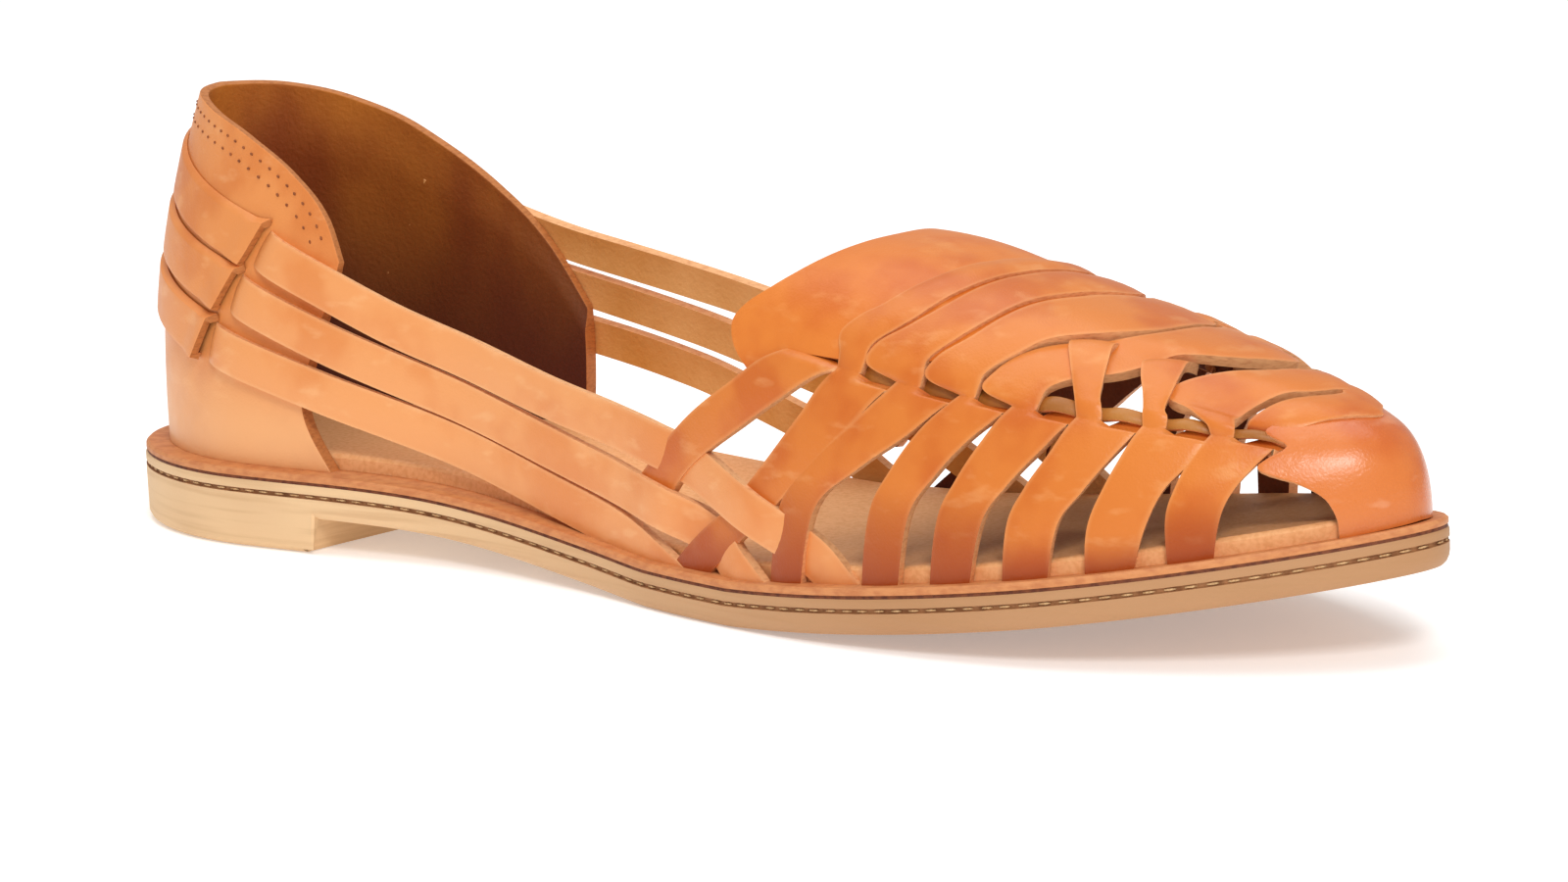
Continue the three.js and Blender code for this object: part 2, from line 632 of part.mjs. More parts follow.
// Toe cap: one wall over the tip, with an opening cut back on each side
function makeToeCap() {
  const back = column(TOE_CAP_EDGE, 'girth', 'back');
  const half = TOE_CAP_EDGE.map((row) => row.girth);
  const girths = [...half, ...half.slice(0, -1).reverse().map((girth) => 180 - girth)];
  const wall = (lift) => girths.map((girth) => {
    const from = back(girth > 90 ? 180 - girth : girth);
    const tip = LENGTH - UPPER_INSET + lift - TIP_STOP;
    return Array.from({ length: CAP_LENGTH_STEPS + 1 }, (_, i) => {
      const share = 1 - (1 - i / CAP_LENGTH_STEPS) ** 2;
      return lastPoint(mix(from, tip, share), deg(girth), lift);
    });
  });
  return toSolid(shell(wall(0), wall(-LEATHER)));
}

// Closing piece that turns the toe cap's wall round the very tip
function makeToeTip() {
  const front = LENGTH - UPPER_INSET + TIP_SKIN - TIP_STOP;
  return toSolid(loft(TIP_GIRTHS.map((girth) => {
    const at = (x, degrees) => lastPoint(x, deg(degrees), TIP_SKIN);
    return [
      at(front - TIP_REACH, girth),
      at(front, girth),
      at(front, 180 - girth),
      at(front - TIP_REACH, 180 - girth),
    ].map((point, i, ring) => new THREE.Vector3(point.x, point.y, ring[1].z));
  })));
}

// Tongue: the plain leaf between the throat edge and the first bands
function makeTongue() {
  const wall = (lift) => TONGUE_EDGE.map((row) => (
    Array.from({ length: TONGUE_LENGTH_STEPS + 1 }, (_, i) => {
      const x = mix(row.back, row.front, i / TONGUE_LENGTH_STEPS);
      return lastPoint(x, deg(row.girth), lift);
    })));
  return toSolid(shell(wall(0), wall(-LEATHER)));
}

// Everything below the foot of the upper, to trim the straps' ends level with the ledge
function makeGround() {
  const reach = 80;
  const depth = 30;
  const stations = Array.from({ length: SOLE_STATIONS + 1 }, (_, i) => (
    mix(-depth, LENGTH + depth, i / SOLE_STATIONS)));
  return toSolid(loft(stations.map((x) => {
    const top = soleLine(x) + UPPER_BASE;
    return [
      new THREE.Vector3(x, -reach, -depth),
      new THREE.Vector3(x, reach, -depth),
      new THREE.Vector3(x, reach, top),
      new THREE.Vector3(x, -reach, top),
    ];
  })));
}

// Upper: toe cap, tongue, side straps, braids, instep bands, cross straps and arch straps, as one wall
function makeUpper() {
  const pieces = [makeToeCap(), makeToeTip(), makeTongue()];
  [-1, 1].forEach((side) => {
    FOREFOOT_STRAPS.forEach((strap) => pieces.push(lastRibbon(strapRows(strap), STRAP_WIDTH, side)));
    pieces.push(lastRibbon(BRAID, BRAID_WIDTH, side));
  });
  INSTEP_BANDS.forEach((band) => pieces.push(lastRibbon(bandRows(band), band.width, -1)));
  CROSS_STRAPS.forEach((cross) => pieces.push(lastRibbon(crossRows(cross), STRAP_WIDTH, -1)));
  INNER_ARCH_STRAPS.forEach((rows) => pieces.push(wallRibbon(rows, INNER_ARCH_WIDTH, -1, 0)));
  OUTER_ARCH_STRAPS.forEach((rows) => pieces.push(wallRibbon(rows, OUTER_ARCH_WIDTH, 1, 0)));
  return join(pieces).subtract(makeGround());
}

// Point on the cup by its share of the way from the inner front edge round to the outer one
function wrapPoint(share, z, lift) {
  const side = share < 0 ? -1 : 1;
  const along = Math.abs(share);
  const front = side < 0 ? cupFrontInner(z) : cupFrontOuter(z);
  const x = mix(cupBack(z), front, along ** WRAP_SPREAD);
  return cupPoint(x - (1 - along ** 2) * lift, z, side, lift);
}

// Raised band round the heel between two slots
function heelBand(band) {
  const at = (share) => {
    const turn = mix(-band.innerSlot, band.outerSlot, share);
    const fall = turn < 0 ? -turn / band.innerSlot : turn / band.outerSlot;
    return [turn, mix(band.back, turn < 0 ? band.inner : band.outer, fall ** HEEL_BAND_FALL)];
  };
  const place = (share, out) => {
    const [turn, z] = at(share);
    const centre = wrapPoint(turn, z, EMBOSS);
    if (!out) return centre;
    const along = wrapPoint(turn + WRAP_NUDGE, z, EMBOSS).sub(wrapPoint(turn - WRAP_NUDGE, z, EMBOSS));
    const up = wrapPoint(turn, z + STATION_NUDGE, EMBOSS).sub(wrapPoint(turn, z - STATION_NUDGE, EMBOSS));
    return centre.add(up.cross(along).normalize());
  };
  return ribbon(place, HEEL_BAND_WIDTH, () => HEEL_BAND_THICK, 0);
}

// Heel counter: one wall round the heel, open at the top, with a blind slot for each arch strap
function makeCounter() {
  const shares = Array.from({ length: 2 * CUP_SIDE_STEPS + 1 }, (_, i) => i / CUP_SIDE_STEPS - 1);
  const wall = (lift) => shares.map((share) => {
    const along = Math.abs(share);
    const top = share < 0 ? topInner(along) : topOuter(along);
    const foot = soleLine(mix(cupBack(0), cupFrontInner(0), along)) + UPPER_BASE;
    return Array.from({ length: CUP_HEIGHT_STEPS + 1 }, (_, i) => (
      wrapPoint(share, mix(foot, top, i / CUP_HEIGHT_STEPS), lift)));
  });
  const body = toSolid(shell(wall(0), wall(-COUNTER_WALL)));
  const banded = join([body, ...HEEL_BANDS.map(heelBand)]);
  const innerCuts = INNER_ARCH_STRAPS.map((rows) => wallRibbon(rows, INNER_ARCH_WIDTH, -1, SLOT_CLEARANCE));
  const outerCuts = OUTER_ARCH_STRAPS.map((rows) => wallRibbon(rows, OUTER_ARCH_WIDTH, 1, SLOT_CLEARANCE));
  return banded.subtract(join([...innerCuts, ...outerCuts]));
}

function part(name, geometry) {
  const mesh = new THREE.Mesh(geometry, new THREE.MeshStandardMaterial({ ...FINISHES[name], metalness: 0 }));
  mesh.name = name;
  return mesh;
}

const shoe = new THREE.Group();
shoe.add(part('outsole', makeOutsole()));
shoe.add(part('midsole', makeMidsole()));
shoe.add(part('insole', makeInsole()));
shoe.add(part('upper', toGeometry(makeUpper())));
shoe.add(part('heel_counter', toGeometry(makeCounter())));

// The origin is on the floor under the middle of the shoe
const middle = new THREE.Box3().setFromObject(shoe).getCenter(new THREE.Vector3());
shoe.position.set(-middle.x, -middle.y, 0);

export default shoe;
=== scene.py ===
"""Woven flat huarache, left shoe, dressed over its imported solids.

The shapes are worked out in millimetres on the same last as the solids: x runs from the heel to the
toe, the inner side of the foot is at -y, and z is the height over the floor. Straps lie on the last
by station x and by girth, the angle round the section in degrees from the inner sole edge.
"""
import math

import bmesh
import bpy
from mathutils import Matrix, Vector


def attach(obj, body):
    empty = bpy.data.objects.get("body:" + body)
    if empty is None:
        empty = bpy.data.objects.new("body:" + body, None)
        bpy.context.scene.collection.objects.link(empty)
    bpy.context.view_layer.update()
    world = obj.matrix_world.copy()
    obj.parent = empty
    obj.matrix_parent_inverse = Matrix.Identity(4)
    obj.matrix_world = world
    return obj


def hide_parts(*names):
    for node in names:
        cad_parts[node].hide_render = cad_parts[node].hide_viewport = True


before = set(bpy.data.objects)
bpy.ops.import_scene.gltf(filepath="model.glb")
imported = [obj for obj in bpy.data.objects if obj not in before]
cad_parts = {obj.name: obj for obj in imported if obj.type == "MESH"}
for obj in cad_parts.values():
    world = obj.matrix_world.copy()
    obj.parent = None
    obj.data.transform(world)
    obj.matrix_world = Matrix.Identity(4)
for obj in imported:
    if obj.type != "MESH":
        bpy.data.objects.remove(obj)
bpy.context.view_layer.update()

MM = 0.001
MIDDLE = Vector((126.0, -0.04, 0.0))
TO_PART = Matrix.Scale(MM, 4) @ Matrix.Translation(-MIDDLE)

# Sizes of the last and the sole
LENGTH = 252.0
HEEL_ROUND = 40.0
TOE_ROUND = 50.0
NOSE_START = 241.0
NOSE_POWER = 2.6
HEEL_BREAST = 54.0
BREAST_SLOPE = 0.6
ARCH_RISE = 6.2
ARCH_END = 147.0
TOE_SPRING = 14.3
TOE_SPRING_START = 127.0
TOE_SPRING_POWER = 1.7
FLAT_SPOT_DEPTH = 0.7
WALL_BLEND_START = 60.0
WALL_BLEND_END = 115.0
OUTSOLE_THICK = 5.4
MIDSOLE_BASE = 5.7
MIDSOLE_THICK = 1.3
UPPER_BASE = 7.3
INSOLE_THICK = 2.3
UPPER_INSET = 2.6
COUNTER_INSET = 4.0
COUNTER_WALL = 2.8
CUP_THICK = 2.5
LEATHER = 1.6
BRAID_THICK = 1.2
HEEL_BAND_THICK = 1.3
CROWN = 0.3
FOOT = UPPER_BASE - 0.9
SIDE_ROUND = 2.5
ROOF_ROUND = 2.1

# Last sections: station, half widths on the inner and outer side, ridge offset, height
SECTIONS = {
    "x": (0, 33, 55, 81, 111, 141, 169, 197, 219, 237, 252),
    "inner": (27.0, 27.3, 25.8, 22.8, 26.3, 33.4, 36.8, 35.0, 30.0, 25.4, 21.0),
    "outer": (27.0, 27.8, 28.2, 28.4, 30.8, 34.6, 36.8, 35.0, 30.2, 25.4, 21.0),
    "ridge": (0, 0, 0, -0.5, -2.0, -3.0, -3.0, -2.0, 0.0, 0.5, 0.5),
    "height": (100, 100, 94, 83, 68.5, 56, 45.5, 34.8, 26, 18, 10),
}

# Heel cup by height over the floor: back, lean of the walls, front edge on either side
HEEL_CUP = {
    "z": (10, 22, 34, 46, 60, 72),
    "back": (4.3, 3.9, 4.2, 6.0, 9.4, 13.6),
    "lean": (4.0, 4.2, 4.9, 6.3, 9.4, 11.8),
    "inner": (57, 50, 53, 57, 58, 58),
    "outer": (70, 71.5, 72, 71, 71, 71),
}

# Top line of the heel cup, by share of the way from the back to the front edge
TOP_LINE = {
    "share": (0, 0.3, 0.5, 0.7, 0.86, 0.95, 1),
    "inner": (70.0, 69.3, 67.6, 64.3, 58.6, 52.6, 46.0),
    "outer": (70.0, 69.0, 66.6, 61.5, 53.0, 44.0, 34.0),
}


def smooth(low, high, value):
    share = min(1.0, max(0.0, (value - low) / (high - low)))
    return share * share * (3 - 2 * share)


def mix(a, b, share):
    return a + (b - a) * share


def curve(places, values):
    """Smooth curve through a column of a table."""
    last = len(places) - 1
    rises = [(values[i + 1] - values[i]) / (places[i + 1] - places[i]) for i in range(last)]
    slopes = [rises[0]] + [(rises[i - 1] + rises[i]) / 2 for i in range(1, last)] + [rises[-1]]

    def at(where):
        where = min(places[last], max(places[0], where))
        i = 0
        while i < last - 1 and where > places[i + 1]:
            i += 1
        step = places[i + 1] - places[i]
        t = (where - places[i]) / step
        keep = 2 * t ** 3 - 3 * t ** 2 + 1
        return (keep * values[i] + (1 - keep) * values[i + 1]
                + (t ** 3 - 2 * t ** 2 + t) * step * slopes[i]
                + (t ** 3 - t ** 2) * step * slopes[i + 1])
    return at


HALF = {-1: curve(SECTIONS["x"], SECTIONS["inner"]), 1: curve(SECTIONS["x"], SECTIONS["outer"])}
ridge_offset = curve(SECTIONS["x"], SECTIONS["ridge"])
section_height = curve(SECTIONS["x"], SECTIONS["height"])
cup_back = curve(HEEL_CUP["z"], HEEL_CUP["back"])
cup_lean = curve(HEEL_CUP["z"], HEEL_CUP["lean"])
CUP_FRONT = {-1: curve(HEEL_CUP["z"], HEEL_CUP["inner"]), 1: curve(HEEL_CUP["z"], HEEL_CUP["outer"])}
CUP_TOP = {-1: curve(TOP_LINE["share"], TOP_LINE["inner"]), 1: curve(TOP_LINE["share"], TOP_LINE["outer"])}


def end_round(x, heel_inset, toe_inset):
    """Rounding of the plan at heel and toe."""
    heel = min(1.0, max(0.0, (HEEL_ROUND - x) / (HEEL_ROUND - heel_inset)))
    toe = min(1.0, max(0.0, (x - LENGTH + TOE_ROUND) / (TOE_ROUND - toe_inset)))
    return math.sqrt(1 - heel * heel) * math.sqrt(1 - toe * toe)


def nose_round(x, toe_inset):
    """Rounding of the height down to the tip."""
    along = min(1.0, max(0.0, (x - NOSE_START) / (LENGTH - toe_inset - NOSE_START)))
    return (1 - along ** NOSE_POWER) ** (1 / NOSE_POWER)


def sole_line(x):
    """Underside of the outsole: arch, flat spot under the ball, and toe spring."""
    arch = ARCH_RISE * smooth(0, 1, (ARCH_END - x) / (ARCH_END - HEEL_BREAST))
    toe = min(1.0, max(0.0, (x - TOE_SPRING_START) / (LENGTH - TOE_SPRING_START)))
    return max(0.0, arch + TOE_SPRING * toe ** TOE_SPRING_POWER - FLAT_SPOT_DEPTH)


def last_point(x, girth, lift=0.0):
    """Point on the last; girth is in degrees."""
    inset = UPPER_INSET - lift
    rounding = end_round(x, inset, inset)
    ridge = ridge_offset(x) * rounding
    turn = math.radians(girth)
    side = -1 if math.cos(turn) > 0 else 1
    across = abs(math.cos(turn)) ** (2 / SIDE_ROUND)
    up = math.copysign(abs(math.sin(turn)) ** (2 / ROOF_ROUND), math.sin(turn))
    half = (HALF[side](x) - inset) * rounding
    height = (section_height(x) + lift) * nose_round(x, inset)
    return Vector((x, ridge + (side * half - ridge) * across, sole_line(x) + UPPER_BASE + height * up))


def girth_on(side, girth):
    """Girth of the same place on the inner (-1) or outer (1) side."""
    return girth if side < 0 else 180 - girth


def cup_point(x, z, side, lift):
    """Point on the heel cup's wall by station and height."""
    back = cup_back(z) - lift
    half = (HALF[side](x) - cup_lean(z) + lift) * end_round(x, back, 0)
    return Vector((x, side * half, z))


def wall_point(x, z, side, lift=0.0):
    """Point on the side wall: the heel cup behind, the last in front."""
    rise = max(0.0, z - sole_line(x) - UPPER_BASE) / (section_height(x) + lift)
    lean = math.degrees(math.asin(min(1.0, rise ** (ROOF_ROUND / 2))))
    on_last = last_point(x, girth_on(side, lean), lift)
    on_cup = cup_point(x, z, side, lift)
    share = smooth(WALL_BLEND_START, WALL_BLEND_END, x)
    return Vector((x, mix(on_cup.y, on_last.y, share), z))


def wrap_point(share, z, lift=0.0):
    """Point on the cup by its share of the way from the inner front edge round to the outer one."""
    side = -1 if share < 0 else 1
    along = abs(share)
    x = mix(cup_back(z), CUP_FRONT[side](z), along ** 1.8)
    return cup_point(x - (1 - along ** 2) * lift, z, side, lift)


# Shader maths written as expressions
class Value:
    """A number in a shader: arithmetic on it adds Math nodes."""

    def __init__(self, finish, socket):
        self.finish = finish
        self.socket = socket

    def math(self, operation, *others):
        inputs = dict(enumerate((self,) + others))
        return Value(self.finish, self.finish.node("ShaderNodeMath", {"operation": operation}, inputs))

    def __add__(self, other):
        return self.math("ADD", other)

    def __mul__(self, other):
        return self.math("MULTIPLY", other)

    def __sub__(self, other):
        return self.math("SUBTRACT", other)

    def __rsub__(self, other):
        return (self * -1).math("ADD", other)

    __radd__ = __add__
    __rmul__ = __mul__

    def between(self, low, high):
        """0 below low, 1 above high, smooth between."""
        inputs = dict(enumerate((self, low, high, 0.0, 1.0)))
        settings = {"interpolation_type": "SMOOTHSTEP"}
        return Value(self.finish, self.finish.node("ShaderNodeMapRange", settings, inputs))


class Finish:
    """A material, with one method for every kind of node."""

    def __init__(self, name):
        self.material = bpy.data.materials.new(name)
        self.material.use_nodes = True
        self.tree = self.material.node_tree
        self.shader = next(n for n in self.tree.nodes if n.type == "BSDF_PRINCIPLED")

    def feed(self, slot, item):
        if isinstance(item, Value):
            self.tree.links.new(item.socket, slot)
        elif isinstance(item, bpy.types.NodeSocket):
            self.tree.links.new(item, slot)
        else:
            slot.default_value = item

    def node(self, kind, settings=None, inputs=None, output=0):
        """Adds a node: its settings first, then the values or links of its sockets."""
        node = self.tree.nodes.new(kind)
        for name, value in (settings or {}).items():
            setattr(node, name, value)
        for name, item in (inputs or {}).items():
            self.feed(node.inputs[name], item)
        return node.outputs[output]

    def place(self):
        return self.node("ShaderNodeTexCoord", output="Object")

    def noise(self, scale, detail=2.0, stretch=(1, 1, 1)):
        """Soft random pattern in the part's own space."""
        where = self.node("ShaderNodeMapping", {}, {"Vector": self.place(), "Scale": stretch})
        inputs = {"Vector": where, "Scale": scale, "Detail": detail}
        return Value(self, self.node("ShaderNodeTexNoise", {}, inputs))

    def strip(self):
        """Share of the way along a strap, and across it."""
        share = self.node("ShaderNodeUVMap", {"uv_map": "UVMap"})
        return self.part_of(share, 0), self.part_of(share, 1)

    def part_of(self, vector, number):
        return Value(self, self.node("ShaderNodeSeparateXYZ", {}, {"Vector": vector}, number))

    def forward(self):
        """Place along the shoe, in metres."""
        return self.part_of(self.place(), 0)

    def height(self):
        """Height over the floor, in metres."""
        return self.part_of(self.place(), 2)

    def blend(self, first, second, share):
        return self.node("ShaderNodeMix", {"data_type": "RGBA"}, {0: share, 6: first, 7: second}, output=2)

    def surface(self, color, roughness, height=None, depth=0.0, **constants):
        self.feed(self.shader.inputs["Base Color"], color)
        self.feed(self.shader.inputs["Roughness"], roughness)
        for name, value in constants.items():
            self.shader.inputs[name.replace("_", " ")].default_value = value
        if height is not None:
            bump = self.node("ShaderNodeBump", {}, {"Height": height, "Distance": depth, "Strength": 0.8})
            self.feed(self.shader.inputs["Normal"], bump)
        return self.material


def paint(r, g, b):
    """Colour given as seen, 0 to 255, for a shader."""
    return tuple((v / 255) ** 2.2 for v in (r, g, b)) + (1.0,)


def leather(name, base, deep, pale, shine, rim_share=0.0, painted_end_shade=0.0, painted_floor_light=0.0, coat=0.08):
    """Smooth waxed leather with redder patches, paler streaks, fine pores and soft wrinkles.

    rim_share pales the long edges of a strap and painted_end_shade darkens its ends with painted shade,
    where it meets the sole or goes under a band, both by its own UV map; painted_floor_light pales what is
    near the sole with painted light from the floor.
    """
    finish = Finish(name)
    patch = finish.noise(62, 3).between(0.44, 0.64)
    cloud = finish.noise(19, 2).between(0.3, 0.7)
    color = finish.blend(base, deep, patch * 0.6 + cloud * 0.3)
    streak = finish.noise(150, 3, (1, 1, 2.4)).between(0.56, 0.74)
    color = finish.blend(color, pale, streak * 0.22)
    if rim_share:
        along, across = finish.strip()
        rim = (across - 0.5).math("ABSOLUTE").between(0.4, 0.5)
        color = finish.blend(color, pale, rim * rim_share)
        # Painted shade: darker towards both ends of a strap, where it meets the sole or goes under a band
        foot = (along - 0.5).math("ABSOLUTE").between(0.42, 0.5)
        shaded = (0.62 * deep[0], 0.44 * deep[1], 0.2 * deep[2], 1.0)
        color = finish.blend(color, shaded, foot * painted_end_shade)
    if painted_floor_light:
        # Painted light from the floor: paler low down, near the sole
        low = 1 - finish.height().between(0.014, 0.036)
        color = finish.blend(color, pale, low * painted_floor_light)
    pores = finish.noise(2600, 2)
    wrinkle = finish.noise(420, 4, (1, 0.4, 1))
    height = pores * 0.35 + wrinkle * 0.65
    rough = finish.noise(240, 3) * 0.18 + (shine - 0.09)
    return finish.surface(color, rough, height, 0.00018, IOR=1.38, Coat_Weight=coat, Coat_Roughness=0.26)


def cut_edge(name, color, dark):
    """Raw cut edge of leather, with faint fibres."""
    finish = Finish(name)
    fibre = finish.noise(900, 3, (1, 1, 3))
    return finish.surface(finish.blend(color, dark, fibre.between(0.4, 0.75) * 0.5), fibre * 0.2 + 0.6,
                          fibre, 0.00012)


def lining(name, base, deep, shade):
    """Unfinished inner face: suede grain, darker from rubbing; painted shade makes it darkest low down in
    the cup.
    """
    finish = Finish(name)
    cloud = finish.noise(34, 4, (1, 1, 0.6)).between(0.34, 0.66)
    color = finish.blend(base, deep, cloud)
    grain = finish.noise(1300, 3)
    # Painted shade: darker towards the bottom of the cup
    if shade:
        color = finish.blend(color, shade, (1 - finish.height().between(0.022, 0.072)) * 0.9)
    return finish.surface(color, grain * 0.2 + 0.62, grain, 0.0002)


STRAP = leather("strap_leather", paint(216, 126, 54), paint(192, 92, 32), paint(240, 182, 122), 0.38,
                0.2, 0.9, coat=0.04)
VAMP = leather("vamp_leather", paint(220, 126, 50), paint(200, 98, 34), paint(238, 168, 100), 0.42)
TOE_SKIN = leather("toe_leather", paint(216, 124, 62), paint(194, 92, 38), paint(246, 188, 150), 0.27,
                   coat=0.3)
# Counter leather, paler low down with painted light from the floor
COUNTER = leather("counter_leather", paint(228, 146, 82), paint(208, 118, 56), paint(246, 190, 134), 0.44,
                  painted_floor_light=0.55)
ARCH = leather("arch_strap_leather", paint(232, 156, 96), paint(218, 130, 68), paint(246, 196, 144), 0.4,
               0.2, 0.6)
BRAID_SKIN = leather("braid_leather", paint(182, 120, 56), paint(146, 86, 34), paint(208, 150, 86), 0.45)
# Cup lining; its third colour is the painted shade low down in the cup
INNER_CUP = lining("cup_lining", paint(200, 120, 40), paint(146, 70, 14), paint(66, 14, 1))
INNER_STRAP = lining("strap_lining", paint(232, 176, 112), paint(204, 136, 62), None)
# Flesh side of the upper; its dark brown is painted shade of the inside of the upper, seen through the gaps
SHADED_UNDERSIDE = lining("shaded_vamp_lining", paint(122, 58, 20), paint(82, 30, 8), None)
EDGE = cut_edge("cut_edge", paint(232, 170, 116), paint(188, 112, 66))
CUP_EDGE = cut_edge("cup_edge", paint(186, 114, 58), paint(132, 70, 28))


def tan_sole():
    """Trimmed sole side: layers as faint lengthwise streaks, browner towards the toe."""
    finish = Finish("sole_tan")
    streak = finish.noise(90, 4, (0.35, 0.35, 9))
    cloud = finish.noise(24, 2)
    color = finish.blend(paint(228, 190, 144), paint(182, 134, 92), finish.forward().between(-0.08, 0.06))
    color = finish.blend(color, paint(176, 130, 86), streak.between(0.45, 0.72) * 0.32)
    color = finish.blend(color, paint(164, 116, 74), cloud.between(0.5, 0.75) * 0.25)
    return finish.surface(color, streak * 0.2 + 0.55, streak + finish.noise(1500, 2) * 0.4, 0.00015)


def plain(name, base, deep, rough, scale, stretch=(1, 1, 1)):
    """Two near tones with a fine grain."""
    finish = Finish(name)
    grain = finish.noise(scale, 3, stretch)
    return finish.surface(finish.blend(base, deep, grain.between(0.35, 0.7)), grain * 0.15 + (rough - 0.07),
                          grain, 0.00012)


SOLE = tan_sole()
# Groove of the sole's side, darker than the sole as painted shade in the groove
SHADED_GROOVE = plain("sole_groove_shade", paint(168, 116, 74), paint(132, 84, 48), 0.75, 700)
SEAM = plain("dark_seam", paint(118, 62, 30), paint(84, 38, 16), 0.7, 900)
LEDGE = plain("ledge_leather", paint(208, 136, 82), paint(190, 116, 68), 0.58, 500, (1, 1, 2))
INSOLE = plain("insole_leather", paint(238, 174, 118), paint(226, 158, 100), 0.6, 1400)
THREAD = plain("thread", paint(222, 182, 132), paint(188, 142, 94), 0.8, 3000)
# Stitch holes drawn as small beads coloured dark brown: painted shade inside the holes
HOLE = plain("stitch_hole_shade", paint(150, 84, 42), paint(112, 56, 26), 0.8, 3000)


def finish_piece(name, bm, materials, node):
    """Makes the mesh an object of the part, at the origin, riding on the one body."""
    bmesh.ops.transform(bm, matrix=TO_PART, verts=bm.verts)
    mesh = bpy.data.meshes.new(name)
    bm.to_mesh(mesh)
    bm.free()
    for material in materials:
        mesh.materials.append(material)
    mesh.shade_smooth()
    piece = bpy.data.objects.new(name, mesh)
    bpy.context.scene.collection.objects.link(piece)
    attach(piece, "root")
    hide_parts(node)
    return piece


def add_sheet(bm, columns, rows, at):
    """Adds a sheet to bm: a grid whose points are laid by at(share along, share across)."""
    uv = bm.loops.layers.uv.active or bm.loops.layers.uv.new("UVMap")
    made = bmesh.ops.create_grid(bm, x_segments=columns, y_segments=rows, size=0.5)["verts"]
    for v in made:
        along, across = v.co.x + 0.5, v.co.y + 0.5
        for loop in v.link_loops:
            loop[uv].uv = (along, across)
        v.co = at(along, across)
    return made


def face_out(bm, faces, outward):
    """Turns a sheet's faces so that its middle one looks along outward(centre)."""
    middle = faces[len(faces) // 2]
    middle.normal_update()
    if middle.normal.dot(outward(middle.calc_center_median())) < 0:
        bmesh.ops.reverse_faces(bm, faces=faces)


def face_back(bm, faces):
    """Turns a sheet round the heel so that its hindmost face looks back."""
    hindmost = min(faces, key=lambda face: face.calc_center_median().x)
    hindmost.normal_update()
    if hindmost.normal.x > 0:
        bmesh.ops.reverse_faces(bm, faces=faces)


def faces_of(made):
    return list(dict.fromkeys(face for v in made for face in v.link_faces))


def from_middle(centre):
    """Direction away from the middle of the foot."""
    return Vector((0, centre.y, centre.z - 10))


def walled(piece, thick, bevel=0.3, thin_edge=None):
    """Gives a sheet its wall, inwards, with its lining and cut edge, and rounds the edges."""
    wall = piece.modifiers.new("wall", "SOLIDIFY")
    wall.thickness = thick * MM
    wall.offset = -1
    wall.material_offset = 1
    wall.material_offset_rim = 2
    wall.use_even_offset = False
    if thin_edge:
        wall.vertex_group = thin_edge
    edge = piece.modifiers.new("edge", "BEVEL")
    edge.width = bevel * MM
    edge.segments = 2
    edge.limit_method = "ANGLE"
    edge.angle_limit = math.radians(50)
    shade = piece.modifiers.new("shade", "WEIGHTED_NORMAL")
    shade.keep_sharp = True
    return piece


def read_rows(rows):
    """Reads the columns of a table of rows by share of the way."""
    index = list(range(len(rows)))
    columns = [curve(index, [row[k] for row in rows]) for k in range(len(rows[0]))]
    return lambda share: [column(share * (len(rows) - 1)) for column in columns]


def add_strip(bm, rows, side=-1, steps=40, across=6, crown=CROWN):
    """Adds a strap laid on the last; rows give left x, left girth, right x, right girth and lift."""
    read = read_rows(rows)

    def at(along, over):
        left_x, left_g, right_x, right_g, lift = read(along)
        return last_point(mix(left_x, right_x, over), girth_on(side, mix(left_g, right_g, over)),
                          lift - crown * (2 * over - 1) ** 2)
    face_out(bm, faces_of(add_sheet(bm, steps, across, at)), from_middle)


def add_ribbon(bm, rows, width, side, steps=110, crown=0.25):
    """Adds a strap laid on the side wall along rows of station, height and lift.

    Its lower end is cut level with the ledge.
    """
    read = read_rows(rows)

    def centre(share):
        x, z, lift = read(share)
        return wall_point(x, z, side, lift), x, z, lift

    def at(along, over):
        here, x, z, lift = centre(along)
        ahead = centre(min(1, along + 0.004))[0]
        behind = centre(max(0, along - 0.004))[0]
        tangent = (ahead - behind).normalized()
        up = wall_point(x, z + 0.3, side, lift) - wall_point(x, z - 0.3, side, lift)
        forward = wall_point(x + 0.3, z, side, lift) - wall_point(x - 0.3, z, side, lift)
        outward = (forward.cross(up) * -side).normalized()
        sideways = outward.cross(tangent).normalized()
        return here + sideways * width * (over - 0.5) - outward * crown * (2 * over - 1) ** 2
    faces = faces_of(add_sheet(bm, steps, 5, at))
    face_out(bm, faces, lambda centre: Vector((0, side, 0)))
    end = rows[-1][0] - 6
    rise = (sole_line(end + 4) - sole_line(end - 4)) / 8
    edges = dict.fromkeys(edge for face in faces for edge in face.edges)
    corners = dict.fromkeys(corner for face in faces for corner in face.verts)
    bmesh.ops.bisect_plane(bm, geom=faces + list(edges) + list(corners), clear_inner=True,
                           plane_co=(end, 0, sole_line(end) + FOOT), plane_no=(-rise, 0, 1))


